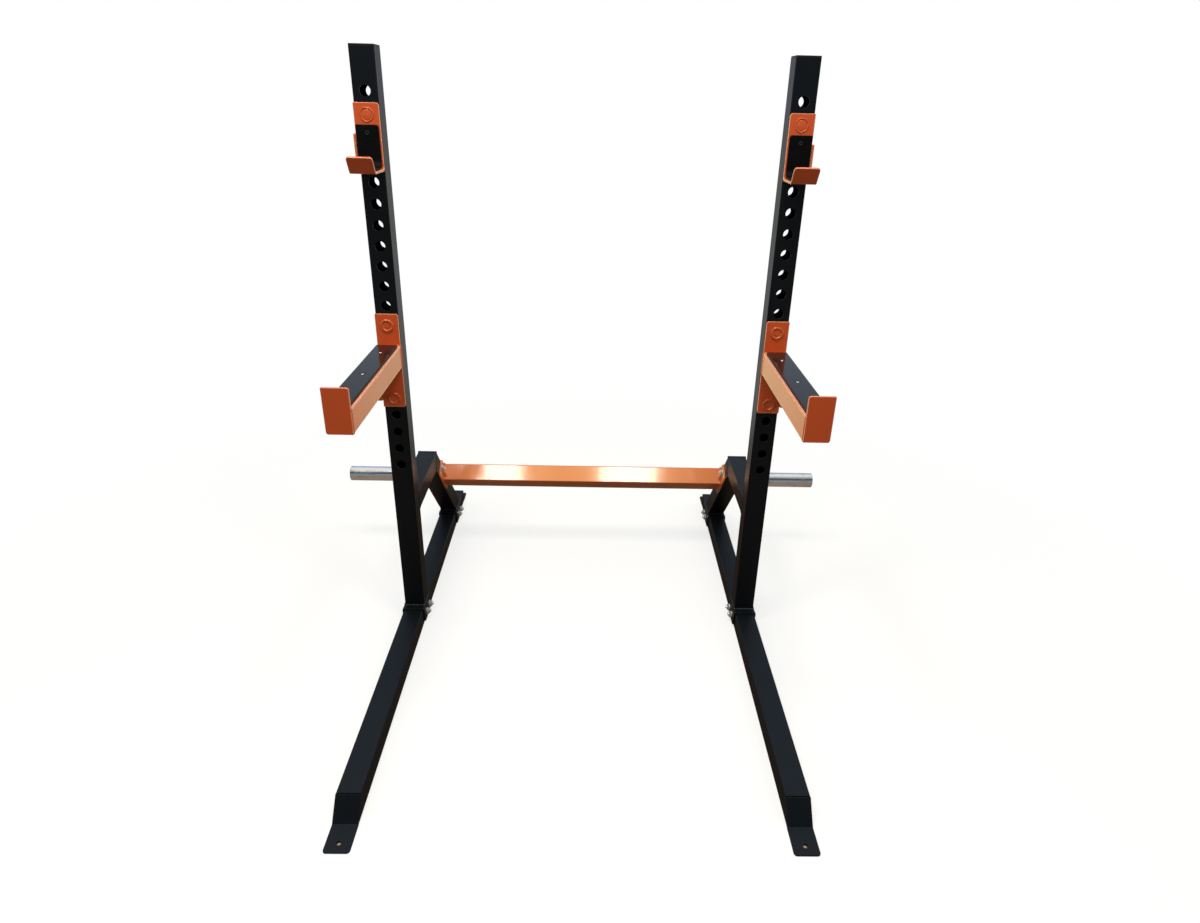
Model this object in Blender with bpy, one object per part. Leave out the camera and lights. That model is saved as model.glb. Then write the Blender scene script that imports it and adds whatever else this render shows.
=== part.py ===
"""Half rack: two holed uprights on long floor tubes, braced behind, with a crossbar, weight pegs,
lift-off J-cups and lift-off spotter arms. Units are metres, +Z is up, -Y is the lifter's side."""

from math import acos, atan2, cos, pi, sin, sqrt, tan

import bmesh
import bpy
from mathutils import Matrix, Vector

# Square tube that the whole frame is cut from
TUBE = 0.060
WALL = 0.002
CORNER = 0.0035
GAP = 0.0003
PLATE = 0.005

# Uprights and their row of holes
OUTER_WIDTH = 1.096
UPRIGHT_TOP = 1.602
HOLES = 20
HOLE_PITCH = 0.0508
HOLE_D = 0.026
TOP_HOLE_DOWN = 0.0976
CAP_HEAD = 0.004
PLUG_DEPTH = 0.014
PLUG_SLACK = 0.0005

# Floor tubes, their end plates and the saddles that stand on them
BASE_HEIGHT = 0.050
FRONT_REACH = 0.863
REAR_REACH = 0.885
FOOT_PLATE = 0.004
TAB = 0.070
TAB_ROUND = 0.008
FLOOR_HOLE_D = 0.012
FLOOR_HOLE_IN = 0.025
SADDLE_PLATE = 0.004
SADDLE_MARGIN = 0.022
SADDLE_LIFT = 0.004
SADDLE_BEND = 0.006
SADDLE_ROUND = 0.014

# Brace behind each upright: a level beam, then a leg that slopes down to the floor tube
BEAM_TOP = 0.426
BRACE_PEAK = 0.3504
BRACE_SLOPE = pi / 4

# Crossbar, its bolted flanges and the weight pegs, all centred on the leg
CROSSBAR_Y = 0.430
CROSSBAR_TURN = pi / 4
FLANGE = 0.006
FLANGE_LENGTH = 0.152
FLANGE_ROUND = 0.008
FLANGE_BOLTS = 0.124
PEG_D = 0.050
PEG_WALL = 0.003
PEG_LENGTH = 0.256

# Bolts
BOLT_D = 0.010
BOLT_SLACK = 0.0006
BOLT_HEAD = 0.017
BOLT_HEAD_HIGH = 0.0065
NUT_HIGH = 0.0085
BOLT_END = 0.004
SADDLE_BOLT_PITCH = 0.040
SADDLE_BOLT_Z = 0.027

# Pins that hang the J-cups and spotter arms in the holes
PIN_D = 0.024
PIN_PAST = 0.012
PIN_SLACK = 0.0006
PIN_TAPER = 0.003
BEAD_D = 0.031
BEAD_HIGH = 0.0018

# J-cups
CUP_HOLE = 2
CUP_ABOVE_PIN = 0.026
CUP_DROP = 0.126
CUP_DEPTH = 0.086
LIP_RISE = 0.036
LIP_LEAN = 0.023
CUP_BEND = 0.005
CUP_ROUND = 0.007
OUTER_EXTRA = 0.001
CHEEK_FRONT = 0.003
CHEEK_BACK = 0.036
CUP_CHEEK_TOP = 0.042
CUP_CHEEK_FOOT = 0.119
LINER = 0.005
LINER_TOP = 0.022
LINER_INNER_IN = 0.004
LINER_OUTER_IN = 0.001
LINER_ROUND = 0.006
LINER_BEND = 0.018

# Spotter arms
ARM_HOLE = 12
ARM_PIN_STEP = 4
ARM_ABOVE_PIN = 0.031
ARM_BELOW_PIN = 0.025
ARM_TOP_DOWN = 0.0546
ARM_REACH = 0.483
END_RISE = 0.047
END_ROUND = 0.006
ARM_CHEEK_TOP = 0.056
ARM_CHEEK_DROP = 0.012
ARM_CHEEK_FOOT = 0.210
GUSSET_REACH = 0.090
GUSSET_TOP = 0.106
GUSSET_FOOT = 0.180
PAD = 0.008
PAD_INNER_IN = 0.004
PAD_OUTER_IN = 0.002
PAD_BACK = 0.020
PAD_FRONT = 0.0005

# Facets
HOLE_SIDES = 14
PEG_SIDES = 28
PIN_SIDES = 16
BOLT_SIDES = 10
CORNER_STEPS = 2

# Places that follow from the sizes above
FRONT_FACE = (FRONT_REACH - REAR_REACH) / 2
INNER = OUTER_WIDTH / 2 - TUBE
MIDDLE = OUTER_WIDTH / 2 - TUBE / 2
REAR_FACE = FRONT_FACE + TUBE
SADDLE_TOP = BASE_HEIGHT + SADDLE_PLATE + GAP
TOP_HOLE = UPRIGHT_TOP - TOP_HOLE_DOWN
PLATE_FACE = FRONT_FACE - GAP - PLATE
LEG_FRONT = BRACE_PEAK - TUBE * tan(BRACE_SLOPE / 2)
LEG_ALONG = Vector((0, cos(BRACE_SLOPE), -sin(BRACE_SLOPE)))
LEG_ACROSS = Vector((0, sin(BRACE_SLOPE), cos(BRACE_SLOPE)))
LEG_CENTRE = Vector((0, FRONT_FACE + LEG_FRONT, BEAM_TOP - TUBE)) + LEG_ACROSS * (TUBE / 2)
CROSS_CENTRE = LEG_CENTRE + LEG_ALONG * ((FRONT_FACE + CROSSBAR_Y - LEG_CENTRE.y) / LEG_ALONG.y)
LEG_FOOT = LEG_CENTRE + LEG_ALONG * ((SADDLE_TOP - LEG_CENTRE.z) / LEG_ALONG.z)
LEG_FOOT_LONG = TUBE / sin(BRACE_SLOPE)
CUP_PIN_Z = TOP_HOLE - (CUP_HOLE - 1) * HOLE_PITCH
ARM_PIN_Z = TOP_HOLE - (ARM_HOLE - 1) * HOLE_PITCH
ARM_LOW_PIN_Z = ARM_PIN_Z - ARM_PIN_STEP * HOLE_PITCH
ARM_TOP = ARM_PIN_Z - ARM_TOP_DOWN
SIDES = (("left", -1), ("right", 1))

# Colours as seen: linear red, green, blue, then metallic and roughness
FINISHES = {
    "black_paint": ((0.010, 0.011, 0.013), 0.0, 0.42),
    "orange_paint": ((0.46, 0.10, 0.025), 0.0, 0.35),
    "chrome": ((0.62, 0.63, 0.65), 1.0, 0.18),
    "zinc": ((0.55, 0.56, 0.58), 1.0, 0.32),
    "black_plastic": ((0.012, 0.012, 0.013), 0.0, 0.5),
    "pad_plastic": ((0.035, 0.038, 0.042), 0.0, 0.38),
}


def clear_scene():
    """Remove what the startup scene holds."""
    for thing in list(bpy.data.objects):
        bpy.data.objects.remove(thing, do_unlink=True)


def finish(name, kind):
    """A Principled material of one kind, named after its part."""
    colour, metallic, roughness = FINISHES[kind]
    made = bpy.data.materials.new(name)
    made.use_nodes = True
    shader = made.node_tree.nodes["Principled BSDF"]
    shader.inputs["Base Color"].default_value = (*colour, 1.0)
    shader.inputs["Metallic"].default_value = metallic
    shader.inputs["Roughness"].default_value = roughness
    made.diffuse_color = (*colour, 1.0)
    return made


def add_object(name, work, kind=None, origin=(0, 0, 0)):
    """Turn a bmesh in world coordinates into an object whose origin is at the point given."""
    bmesh.ops.recalc_face_normals(work, faces=work.faces)
    bmesh.ops.translate(work, vec=-Vector(origin), verts=work.verts)
    mesh = bpy.data.meshes.new(name)
    work.to_mesh(mesh)
    work.free()
    made = bpy.data.objects.new(name, mesh)
    made.location = origin
    bpy.context.collection.objects.link(made)
    if kind:
        mesh.materials.append(finish(name, kind))
    return made


def shade_round(part):
    """Smooth the round faces and leave the real edges sharp."""
    part.data.shade_smooth()
    part.data.set_sharp_from_angle(angle=pi / 5)


def add_cutter(name, work):
    """A guide solid for a Boolean, left out of the model."""
    cutter = add_object(name, work)
    cutter.hide_render = True
    cutter.display_type = "WIRE"
    return cutter


def boolean(part, cutter, operation="DIFFERENCE"):
    """Cut or trim a part with a guide solid."""
    step = part.modifiers.new(cutter.name, "BOOLEAN")
    step.operation = operation
    step.solver = "EXACT"
    step.object = cutter


def extrude_loop(work, points, along):
    """Close a loop of points into a prism that reaches along the vector."""
    ring = [work.verts.new(point) for point in points]
    face = work.faces.new(ring)
    made = bmesh.ops.extrude_face_region(work, geom=[face])
    moved = [item for item in made["geom"] if isinstance(item, bmesh.types.BMVert)]
    bmesh.ops.translate(work, vec=along, verts=moved)


def rounded_square(width, height, radius, steps=CORNER_STEPS):
    """Corner points of a rectangle with round corners, anticlockwise about its centre."""
    points = []
    for quarter in range(4):
        sign_a = 1 if quarter in (0, 3) else -1
        sign_b = 1 if quarter in (0, 1) else -1
        centre_a = sign_a * (width / 2 - radius)
        centre_b = sign_b * (height / 2 - radius)
        for step in range(steps + 1):
            angle = (quarter + step / steps) * pi / 2
            points.append((centre_a + radius * cos(angle), centre_b + radius * sin(angle)))
    return points


def tube_between(centre, along, side, start, end, size=(TUBE, TUBE), wall=WALL):
    """A square tube along a direction, cut by a plane at each end.

    Each plane is a point and a normal. Every corner line of the section runs to both planes."""
    work = bmesh.new()
    along = Vector(along).normalized()
    side = Vector(side).normalized()
    up = along.cross(side)
    rings = []
    for inset in (0, wall):
        section = rounded_square(size[0] - 2 * inset, size[1] - 2 * inset, CORNER - inset)
        for point, normal in (start, end):
            normal = Vector(normal)
            ring = []
            for a, b in section:
                base = Vector(centre) + side * a + up * b
                reach = (Vector(point) - base).dot(normal) / along.dot(normal)
                ring.append(work.verts.new(base + along * reach))
            rings.append(ring)
    count = len(rings[0])
    for first, second in ((0, 1), (1, 3), (3, 2), (2, 0)):
        for index in range(count):
            after = (index + 1) % count
            work.faces.new((rings[first][index], rings[first][after],
                            rings[second][after], rings[second][index]))
    return work


def box(low, high):
    """A plain block between two corners."""
    work = bmesh.new()
    bmesh.ops.create_cube(work, size=1)
    size = Vector(high) - Vector(low)
    middle = (Vector(high) + Vector(low)) / 2
    work.transform(Matrix.Translation(middle) @ Matrix.Diagonal((*size, 1)))
    return work


def turned(profile, start, along, sides):
    """Turn a profile of (distance along, radius) about the line from a point."""
    work = bmesh.new()
    along = Vector(along).normalized()
    side = Vector((0, 0, 1)) if abs(along.z) < 0.5 else Vector((1, 0, 0))
    other = along.cross(side)
    rings = []
    for distance, radius in profile:
        centre = Vector(start) + along * distance
        if radius == 0:
            rings.append([work.verts.new(centre)])
            continue
        ring = []
        for index in range(sides):
            angle = 2 * pi * index / sides
            ring.append(work.verts.new(centre + (side * cos(angle) + other * sin(angle)) * radius))
        rings.append(ring)
    for first, second in zip(rings, rings[1:]):
        for index in range(sides):
            after = (index + 1) % sides
            if len(first) == 1:
                work.faces.new((first[0], second[after], second[index]))
            elif len(second) == 1:
                work.faces.new((first[index], first[after], second[0]))
            else:
                work.faces.new((first[index], first[after], second[after], second[index]))
    if len(rings[0]) > 1 and rings[0][0].co != rings[-1][0].co:
        work.faces.new(rings[0])
        work.faces.new(rings[-1])
    return work


def drill(name, centres, along, reach, radius, sides=BOLT_SIDES):
    """One guide solid that holds a rod through every centre."""
    work = bmesh.new()
    along = Vector(along).normalized()
    for centre in centres:
        rod = turned(((0, radius), (reach, radius)), Vector(centre) - along * (reach / 2), along, sides)
        mesh = bpy.data.meshes.new(name)
        rod.to_mesh(mesh)
        rod.free()
        work.from_mesh(mesh)
        bpy.data.meshes.remove(mesh)
    return add_cutter(name, work)


def filleted(points, radius, steps=3):
    """A path in the YZ plane with an arc at each inner corner."""
    path = [Vector(points[0])]
    for before, corner, after in zip(points, points[1:], points[2:]):
        corner = Vector(corner)
        back = (Vector(before) - corner).normalized()
        ahead = (Vector(after) - corner).normalized()
        half = acos(max(-1.0, min(1.0, back.dot(ahead)))) / 2
        centre = corner + (back + ahead).normalized() * (radius / sin(half))
        first = corner + back * (radius / tan(half)) - centre
        last = corner + ahead * (radius / tan(half)) - centre
        start = atan2(first.y, first.x)
        turn = (atan2(last.y, last.x) - start + pi) % (2 * pi) - pi
        for step in range(steps + 1):
            angle = start + turn * step / steps
            path.append(centre + Vector((cos(angle), sin(angle))) * radius)
    path.append(Vector(points[-1]))
    return path


def bent_strip(points, thickness, bend, x_low, x_high):
    """Sheet bent along a path in the YZ plane: the path is its middle, and it is as wide as X says."""
    path = filleted(points, bend + thickness / 2)
    left = []
    right = []
    for index, point in enumerate(path):
        before = path[max(index - 1, 0)]
        after = path[min(index + 1, len(path) - 1)]
        into = (point - before).normalized() if index > 0 else (after - point).normalized()
        out = (after - point).normalized() if index < len(path) - 1 else into
        mean = (into + out).normalized()
        normal = Vector((-mean.y, mean.x))
        reach = thickness / 2 / max(mean.dot(into), 0.2)
        left.append(point + normal * reach)
        right.append(point - normal * reach)
    loop = [(x_low, point.x, point.y) for point in left + right[::-1]]
    work = bmesh.new()
    extrude_loop(work, loop, (x_high - x_low, 0, 0))
    return work


def round_corner(work, near, radius, steps=3):
    """Round the thickness edge of a plate whose middle lies nearest each point."""
    for point in near:
        point = Vector(point)
        edge = min(work.edges, key=lambda item: ((item.verts[0].co + item.verts[1].co) / 2 - point).length)
        bmesh.ops.bevel(work, geom=[edge], offset=radius, segments=steps, profile=0.5, affect="EDGES",
                        clamp_overlap=True)


def hex_rod(work, centre, along, across, high):
    """Add a hexagon's prism to a bmesh, centred on a point and reaching along a direction."""
    along = Vector(along).normalized()
    side = Vector((0, 0, 1))
    other = along.cross(side)
    radius = across / sqrt(3)
    loop = []
    for index in range(6):
        angle = pi / 3 * index
        loop.append(Vector(centre) + (side * cos(angle) + other * sin(angle)) * radius)
    extrude_loop(work, loop, along * high)


def bolt(name, centre, outward, grip):
    """A hexagon bolt with its nut on, as one body, through a joint of the length given.

    The head is on the outer side and the nut on the side that faces the middle of the rack."""
    outward = Vector(outward)
    head_at = Vector(centre) + outward * (grip / 2 + GAP)
    nut_at = Vector(centre) - outward * (grip / 2 + GAP)
    length = grip + 2 * GAP + NUT_HIGH + BOLT_END
    work = bmesh.new()
    hex_rod(work, head_at, outward, BOLT_HEAD, BOLT_HEAD_HIGH)
    part = add_object(name, work, "zinc")
    sunk = GAP * 2
    rod = turned(((0, BOLT_D / 2), (length + sunk, BOLT_D / 2)), head_at + outward * sunk, -outward, BOLT_SIDES)
    shank = add_cutter(name + "_shank", rod)
    nut_work = bmesh.new()
    hex_rod(nut_work, nut_at, -outward, BOLT_HEAD, NUT_HIGH)
    nut = add_cutter(name + "_nut", nut_work)
    boolean(part, shank, "UNION")
    boolean(part, nut, "UNION")
    return part


def hole_z(number):
    """Height of a hole's centre, counted from the top."""
    return TOP_HOLE - (number - 1) * HOLE_PITCH


def make_upright(name, sign):
    """The holed square tube that stands on the front saddle, and its top cap."""
    x = sign * MIDDLE
    y = FRONT_FACE + TUBE / 2
    foot = SADDLE_TOP + GAP
    top = UPRIGHT_TOP - CAP_HEAD - GAP
    level = (0, 0, 1)
    work = tube_between((x, y, 0), level, (1, 0, 0), ((x, y, foot), level), ((x, y, top), level))
    part = add_object("upright_" + name, work, "black_paint")
    centres = [(x, y, hole_z(number)) for number in range(1, HOLES + 1)]
    boolean(part, drill("upright_holes_" + name, centres, (0, 1, 0), TUBE * 2, HOLE_D / 2, HOLE_SIDES))
    cap = bmesh.new()
    plug = TUBE - 2 * WALL - 2 * PLUG_SLACK
    head = [(x + a, y + b, UPRIGHT_TOP - CAP_HEAD) for a, b in rounded_square(TUBE, TUBE, CORNER)]
    extrude_loop(cap, head, (0, 0, CAP_HEAD))
    made = add_object("upright_cap_" + name, cap, "black_plastic")
    stem = bmesh.new()
    loop = [(x + a, y + b, top - PLUG_DEPTH) for a, b in rounded_square(plug, plug, CORNER - WALL)]
    extrude_loop(stem, loop, (0, 0, PLUG_DEPTH + CAP_HEAD / 2))
    boolean(made, add_cutter("upright_cap_plug_" + name, stem), "UNION")


def base_section_points():
    """End planes of the floor tube: the sloped front cut and the upright rear cut."""
    slope_foot = FRONT_FACE - FRONT_REACH + TAB
    inset = (FOOT_PLATE + GAP) * sqrt(2)
    front = ((0, slope_foot + inset, 0), Vector((0, 1, -1)).normalized())
    rear = ((0, FRONT_FACE + REAR_REACH - TAB - FOOT_PLATE - GAP, 0), (0, 1, 0))
    return front, rear


def saddle_bolt_places(middle_y):
    """Centres of the two bolts that clamp a saddle, as (Y, Z)."""
    return [(middle_y - SADDLE_BOLT_PITCH / 2, SADDLE_BOLT_Z), (middle_y + SADDLE_BOLT_PITCH / 2, SADDLE_BOLT_Z)]


def make_floor_tube(name, sign):
    """The long tube on the floor, with bolt holes under each saddle."""
    x = sign * MIDDLE
    front, rear = base_section_points()
    centre = (x, 0, BASE_HEIGHT / 2)
    work = tube_between(centre, (0, 1, 0), (1, 0, 0), front, rear, (TUBE, BASE_HEIGHT))
    part = add_object("floor_tube_" + name, work, "black_paint")
    places = saddle_bolt_places(FRONT_FACE + TUBE / 2) + saddle_bolt_places(LEG_FOOT.y)
    centres = [(x, y, z) for y, z in places]
    radius = BOLT_D / 2 + BOLT_SLACK
    boolean(part, drill("floor_tube_holes_" + name, centres, (1, 0, 0), TUBE * 2, radius))


def make_foot_plates(name, sign):
    """Bent plates that close the floor tube: a sloped one in front and an upright one behind."""
    low = sign * MIDDLE - TUBE / 2
    high = sign * MIDDLE + TUBE / 2
    half = FOOT_PLATE / 2
    toe = FRONT_FACE - FRONT_REACH
    slope_foot = toe + TAB
    ahead = half * sqrt(2)
    top = BASE_HEIGHT - half / sqrt(2)
    path = [(slope_foot + ahead + top, top), (slope_foot + ahead + half, half), (toe, half)]
    work = bent_strip(path, FOOT_PLATE, FOOT_PLATE / 2, low, high)
    round_corner(work, [(low, toe, half), (high, toe, half)], TAB_ROUND)
    part = add_object("front_foot_plate_" + name, work, "black_paint")
    heel = FRONT_FACE + REAR_REACH
    radius = FLOOR_HOLE_D / 2
    hole = [(sign * MIDDLE, toe + FLOOR_HOLE_IN, half)]
    boolean(part, drill("front_foot_hole_" + name, hole, (0, 0, 1), TUBE, radius, PIN_SIDES))
    stand = heel - TAB - half
    path = [(stand, BASE_HEIGHT), (stand, half), (heel, half)]
    work = bent_strip(path, FOOT_PLATE, FOOT_PLATE / 2, low, high)
    round_corner(work, [(low, heel, half), (high, heel, half)], TAB_ROUND)
    part = add_object("rear_foot_plate_" + name, work, "black_paint")
    hole = [(sign * MIDDLE, heel - FLOOR_HOLE_IN, half)]
    boolean(part, drill("rear_foot_hole_" + name, hole, (0, 0, 1), TUBE, radius, PIN_SIDES))


def make_saddle(name, sign, title, middle_y, seat_long):
    """An inverted U of plate over the floor tube, with its two bolts."""
    x = sign * MIDDLE
    inside = TUBE / 2 + GAP
    long = seat_long + 2 * SADDLE_MARGIN
    start = middle_y - long / 2
    low = SADDLE_LIFT
    outer = inside + SADDLE_PLATE
    inner_bend = SADDLE_BEND - SADDLE_PLATE
    loop = [(x + outer, low), (x + outer, SADDLE_TOP - SADDLE_BEND)]
    for step in (1, 2, 3):
        angle = step / 3 * pi / 2
        loop.append((x + outer - SADDLE_BEND * (1 - cos(angle)), SADDLE_TOP - SADDLE_BEND * (1 - sin(angle))))
    loop += [(2 * x - a, z) for a, z in loop[::-1]]
    under = SADDLE_TOP - SADDLE_PLATE
    hollow = [(x - inside, low), (x - inside, under - inner_bend), (x - inside + inner_bend, under),
              (x + inside - inner_bend, under), (x + inside, under - inner_bend), (x + inside, low)]
    work = bmesh.new()
    extrude_loop(work, [(a, start, z) for a, z in loop + hollow], (0, long, 0))
    part = add_object(title + "_saddle_" + name, work, "black_paint")
    trim = bmesh.new()
    cheek = [(start, SADDLE_TOP + TUBE), (start, low + SADDLE_ROUND)]
    for step in (1, 2, 3):
        angle = step / 3 * pi / 2
        cheek.append((start + SADDLE_ROUND * (1 - cos(angle)), low + SADDLE_ROUND * (1 - sin(angle))))
    cheek += [(2 * middle_y - y, z) for y, z in cheek[::-1]]
    extrude_loop(trim, [(x - TUBE, y, z) for y, z in cheek], (2 * TUBE, 0, 0))
    boolean(part, add_cutter(title + "_saddle_trim_" + name, trim), "INTERSECT")
    centres = [(x, y, z) for y, z in saddle_bolt_places(middle_y)]
    radius = BOLT_D / 2 + BOLT_SLACK
    boolean(part, drill(title + "_saddle_holes_" + name, centres, (1, 0, 0), TUBE * 2, radius))
    grip = 2 * outer
    for label, centre in zip(("front", "rear"), centres):
        bolt(title + "_saddle_bolt_" + label + "_" + name, centre, (sign, 0, 0), grip)


def mitre_plane(shift):
    """Plane through the beam's lower corner and its peak, moved along the beam."""
    low = Vector((0, FRONT_FACE + LEG_FRONT + shift, BEAM_TOP - TUBE))
    high = Vector((0, FRONT_FACE + BRACE_PEAK + shift, BEAM_TOP))
    run = (high - low).normalized()
    return low, Vector((0, run.z, -run.y))


def make_brace(name, sign):
    """The level beam from the upright and the sloping leg that it is mitred to."""
    x = sign * MIDDLE
    centre = (x, 0, BEAM_TOP - TUBE / 2)
    front = ((0, REAR_FACE + GAP, 0), (0, 1, 0))
    work = tube_between(centre, (0, 1, 0), (1, 0, 0), front, mitre_plane(-GAP / 2))
    add_object("rear_beam_" + name, work, "black_paint")
    centre = (x, LEG_CENTRE.y, LEG_CENTRE.z)
    foot = ((0, 0, SADDLE_TOP + GAP), (0, 0, 1))
    work = tube_between(centre, LEG_ALONG, (1, 0, 0), mitre_plane(GAP / 2), foot)
    part = add_object("rear_leg_" + name, work, "black_paint")
    centres = [(x, place.y, place.z) for place in flange_bolt_places()]
    radius = BOLT_D / 2 + BOLT_SLACK
    boolean(part, drill("rear_leg_holes_" + name, centres, (1, 0, 0), TUBE * 2, radius))


def flange_bolt_places():
    """Centres of the two flange bolts, upper first."""
    return [CROSS_CENTRE - LEG_ALONG * (FLANGE_BOLTS / 2), CROSS_CENTRE + LEG_ALONG * (FLANGE_BOLTS / 2)]


def make_flange(name, sign):
    """The plate that bolts the crossbar to the leg's inner side."""
    face = sign * (INNER - GAP)
    loop = []
    for a, b in ((1, 1), (-1, 1), (-1, -1), (1, -1)):
        loop.append(CROSS_CENTRE + LEG_ALONG * (a * FLANGE_LENGTH / 2) + LEG_ACROSS * (b * TUBE / 2))
    points = [(face, point.y, point.z) for point in loop]
    work = bmesh.new()
    extrude_loop(work, points, (-sign * FLANGE, 0, 0))
    middle = [(face - sign * FLANGE / 2, y, z) for _, y, z in points]
    round_corner(work, middle, FLANGE_ROUND)
    part = add_object("crossbar_flange_" + name, work, "orange_paint")
    centres = [(sign * MIDDLE, place.y, place.z) for place in flange_bolt_places()]
    radius = BOLT_D / 2 + BOLT_SLACK
    boolean(part, drill("flange_holes_" + name, centres, (1, 0, 0), TUBE * 2, radius))
    grip = TUBE + GAP + FLANGE
    shift = -sign * (GAP + FLANGE) / 2
    for label, centre in zip(("upper", "lower"), centres):
        place = (centre[0] + shift, centre[1], centre[2])
        bolt("crossbar_bolt_" + label + "_" + name, place, (sign, 0, 0), grip)


def make_crossbar():
    """The square tube between the two flanges, turned on its corner."""
    reach = INNER - 2 * GAP - FLANGE
    side = Vector((0, cos(CROSSBAR_TURN), sin(CROSSBAR_TURN)))
    along = (1, 0, 0)
    work = tube_between(CROSS_CENTRE, along, side, ((-reach, 0, 0), along), ((reach, 0, 0), along))
    add_object("crossbar", work, "orange_paint")


def make_peg(name, sign):
    """The chromed tube that stores weight plates, with a plug in its end."""
    start = (sign * (OUTER_WIDTH / 2 + GAP), CROSS_CENTRE.y, CROSS_CENTRE.z)
    outer = PEG_D / 2
    inner = outer - PEG_WALL
    profile = [(0, outer), (PEG_LENGTH, outer), (PEG_LENGTH, inner), (0, inner), (0, outer)]
    work = turned(profile, start, (sign, 0, 0), PEG_SIDES)
    bmesh.ops.remove_doubles(work, verts=work.verts, dist=GAP / 10)
    shade_round(add_object("weight_peg_" + name, work, "chrome"))
    radius = inner - PLUG_SLACK
    plug = turned(((PEG_LENGTH - PLUG_DEPTH, radius), (PEG_LENGTH, radius)), start, (sign, 0, 0), PEG_SIDES)
    shade_round(add_object("peg_plug_" + name, plug, "black_plastic"))


def make_pin(name, sign, z):
    """A round pin through the upright, with its weld bead proud of the plate."""
    face = Vector((sign * MIDDLE, PLATE_FACE - GAP, z))
    radius = PIN_D / 2
    length = GAP + PLATE + GAP + TUBE + PIN_PAST
    profile = [(-BEAD_HIGH / 2, 0), (-BEAD_HIGH / 2, radius - BEAD_HIGH), (-BEAD_HIGH, radius),
               (-BEAD_HIGH / 2, BEAD_D / 2 - BEAD_HIGH / 2), (0, BEAD_D / 2), (0, radius),
               (length - PIN_TAPER, radius), (length, radius - PIN_TAPER), (length, 0)]
    work = turned(profile, face, (0, 1, 0), PIN_SIDES)
    part = add_object(name, work, "orange_paint", face)
    shade_round(part)
    return part


def pin_hole(name, sign, z):
    """Guide solid for a pin's hole in a plate."""
    return drill(name, [(sign * MIDDLE, PLATE_FACE, z)], (0, 1, 0), TUBE / 2, PIN_D / 2 + PIN_SLACK, PIN_SIDES)


def cheek_plate(name, sign, shape, origin):
    """A flat plate beside the upright's outer side, from a loop of (Y, Z) points."""
    near = sign * (OUTER_WIDTH / 2 + OUTER_EXTRA + GAP)
    work = bmesh.new()
    extrude_loop(work, [(near, y, z) for y, z in shape], (sign * PLATE, 0, 0))
    add_object(name, work, "orange_paint", origin)


def make_jcup(name, sign):
    """A bent cup that carries the bar, its liner, its pin and the cheek that keeps it square."""
    inner_x = sign * INNER
    outer_x = sign * (OUTER_WIDTH / 2 + OUTER_EXTRA)
    mid = PLATE_FACE + PLATE / 2
    top = CUP_PIN_Z + CUP_ABOVE_PIN
    floor = CUP_PIN_Z - CUP_DROP + PLATE / 2
    lip_foot = PLATE_FACE - CUP_DEPTH + PLATE / 2
    lip_top = (lip_foot - LIP_LEAN, floor + LIP_RISE)
    path = [(mid, top), (mid, floor), (lip_foot, floor), lip_top]
    work = bent_strip(path, PLATE, CUP_BEND, min(inner_x, outer_x), max(inner_x, outer_x))
    round_corner(work, [(inner_x, mid, top), (inner_x, *lip_top), (outer_x, *lip_top)], CUP_ROUND)
    pin_at = (sign * MIDDLE, PLATE_FACE, CUP_PIN_Z)
    cup = add_object("jcup_" + name, work, "orange_paint", pin_at)
    boolean(cup, pin_hole("jcup_pin_hole_" + name, sign, CUP_PIN_Z))
    make_pin("jcup_pin_" + name, sign, CUP_PIN_Z)
    front = PLATE_FACE - CHEEK_FRONT
    back = FRONT_FACE + CHEEK_BACK
    high = CUP_PIN_Z - CUP_CHEEK_TOP
    low = CUP_PIN_Z - CUP_CHEEK_FOOT
    cheek_plate("jcup_side_plate_" + name, sign, [(back, high), (front, high), (front, low), (back, low)], pin_at)
    liner_mid = PLATE_FACE - GAP - LINER / 2
    liner_floor = floor + PLATE / 2 + GAP + LINER / 2
    liner_top = CUP_PIN_Z - LINER_TOP
    liner_end = lip_foot + PLATE / 2 + CUP_BEND
    path = [(liner_mid, liner_top), (liner_mid, liner_floor), (liner_end, liner_floor)]
    edge_in = sign * (INNER + LINER_INNER_IN)
    edge_out = sign * (OUTER_WIDTH / 2 - LINER_OUTER_IN)
    work = bent_strip(path, LINER, LINER_BEND, min(edge_in, edge_out), max(edge_in, edge_out))
    round_corner(work, [(edge_in, liner_mid, liner_top)], LINER_ROUND)
    add_object("jcup_liner_" + name, work, "black_plastic", pin_at)


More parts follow.
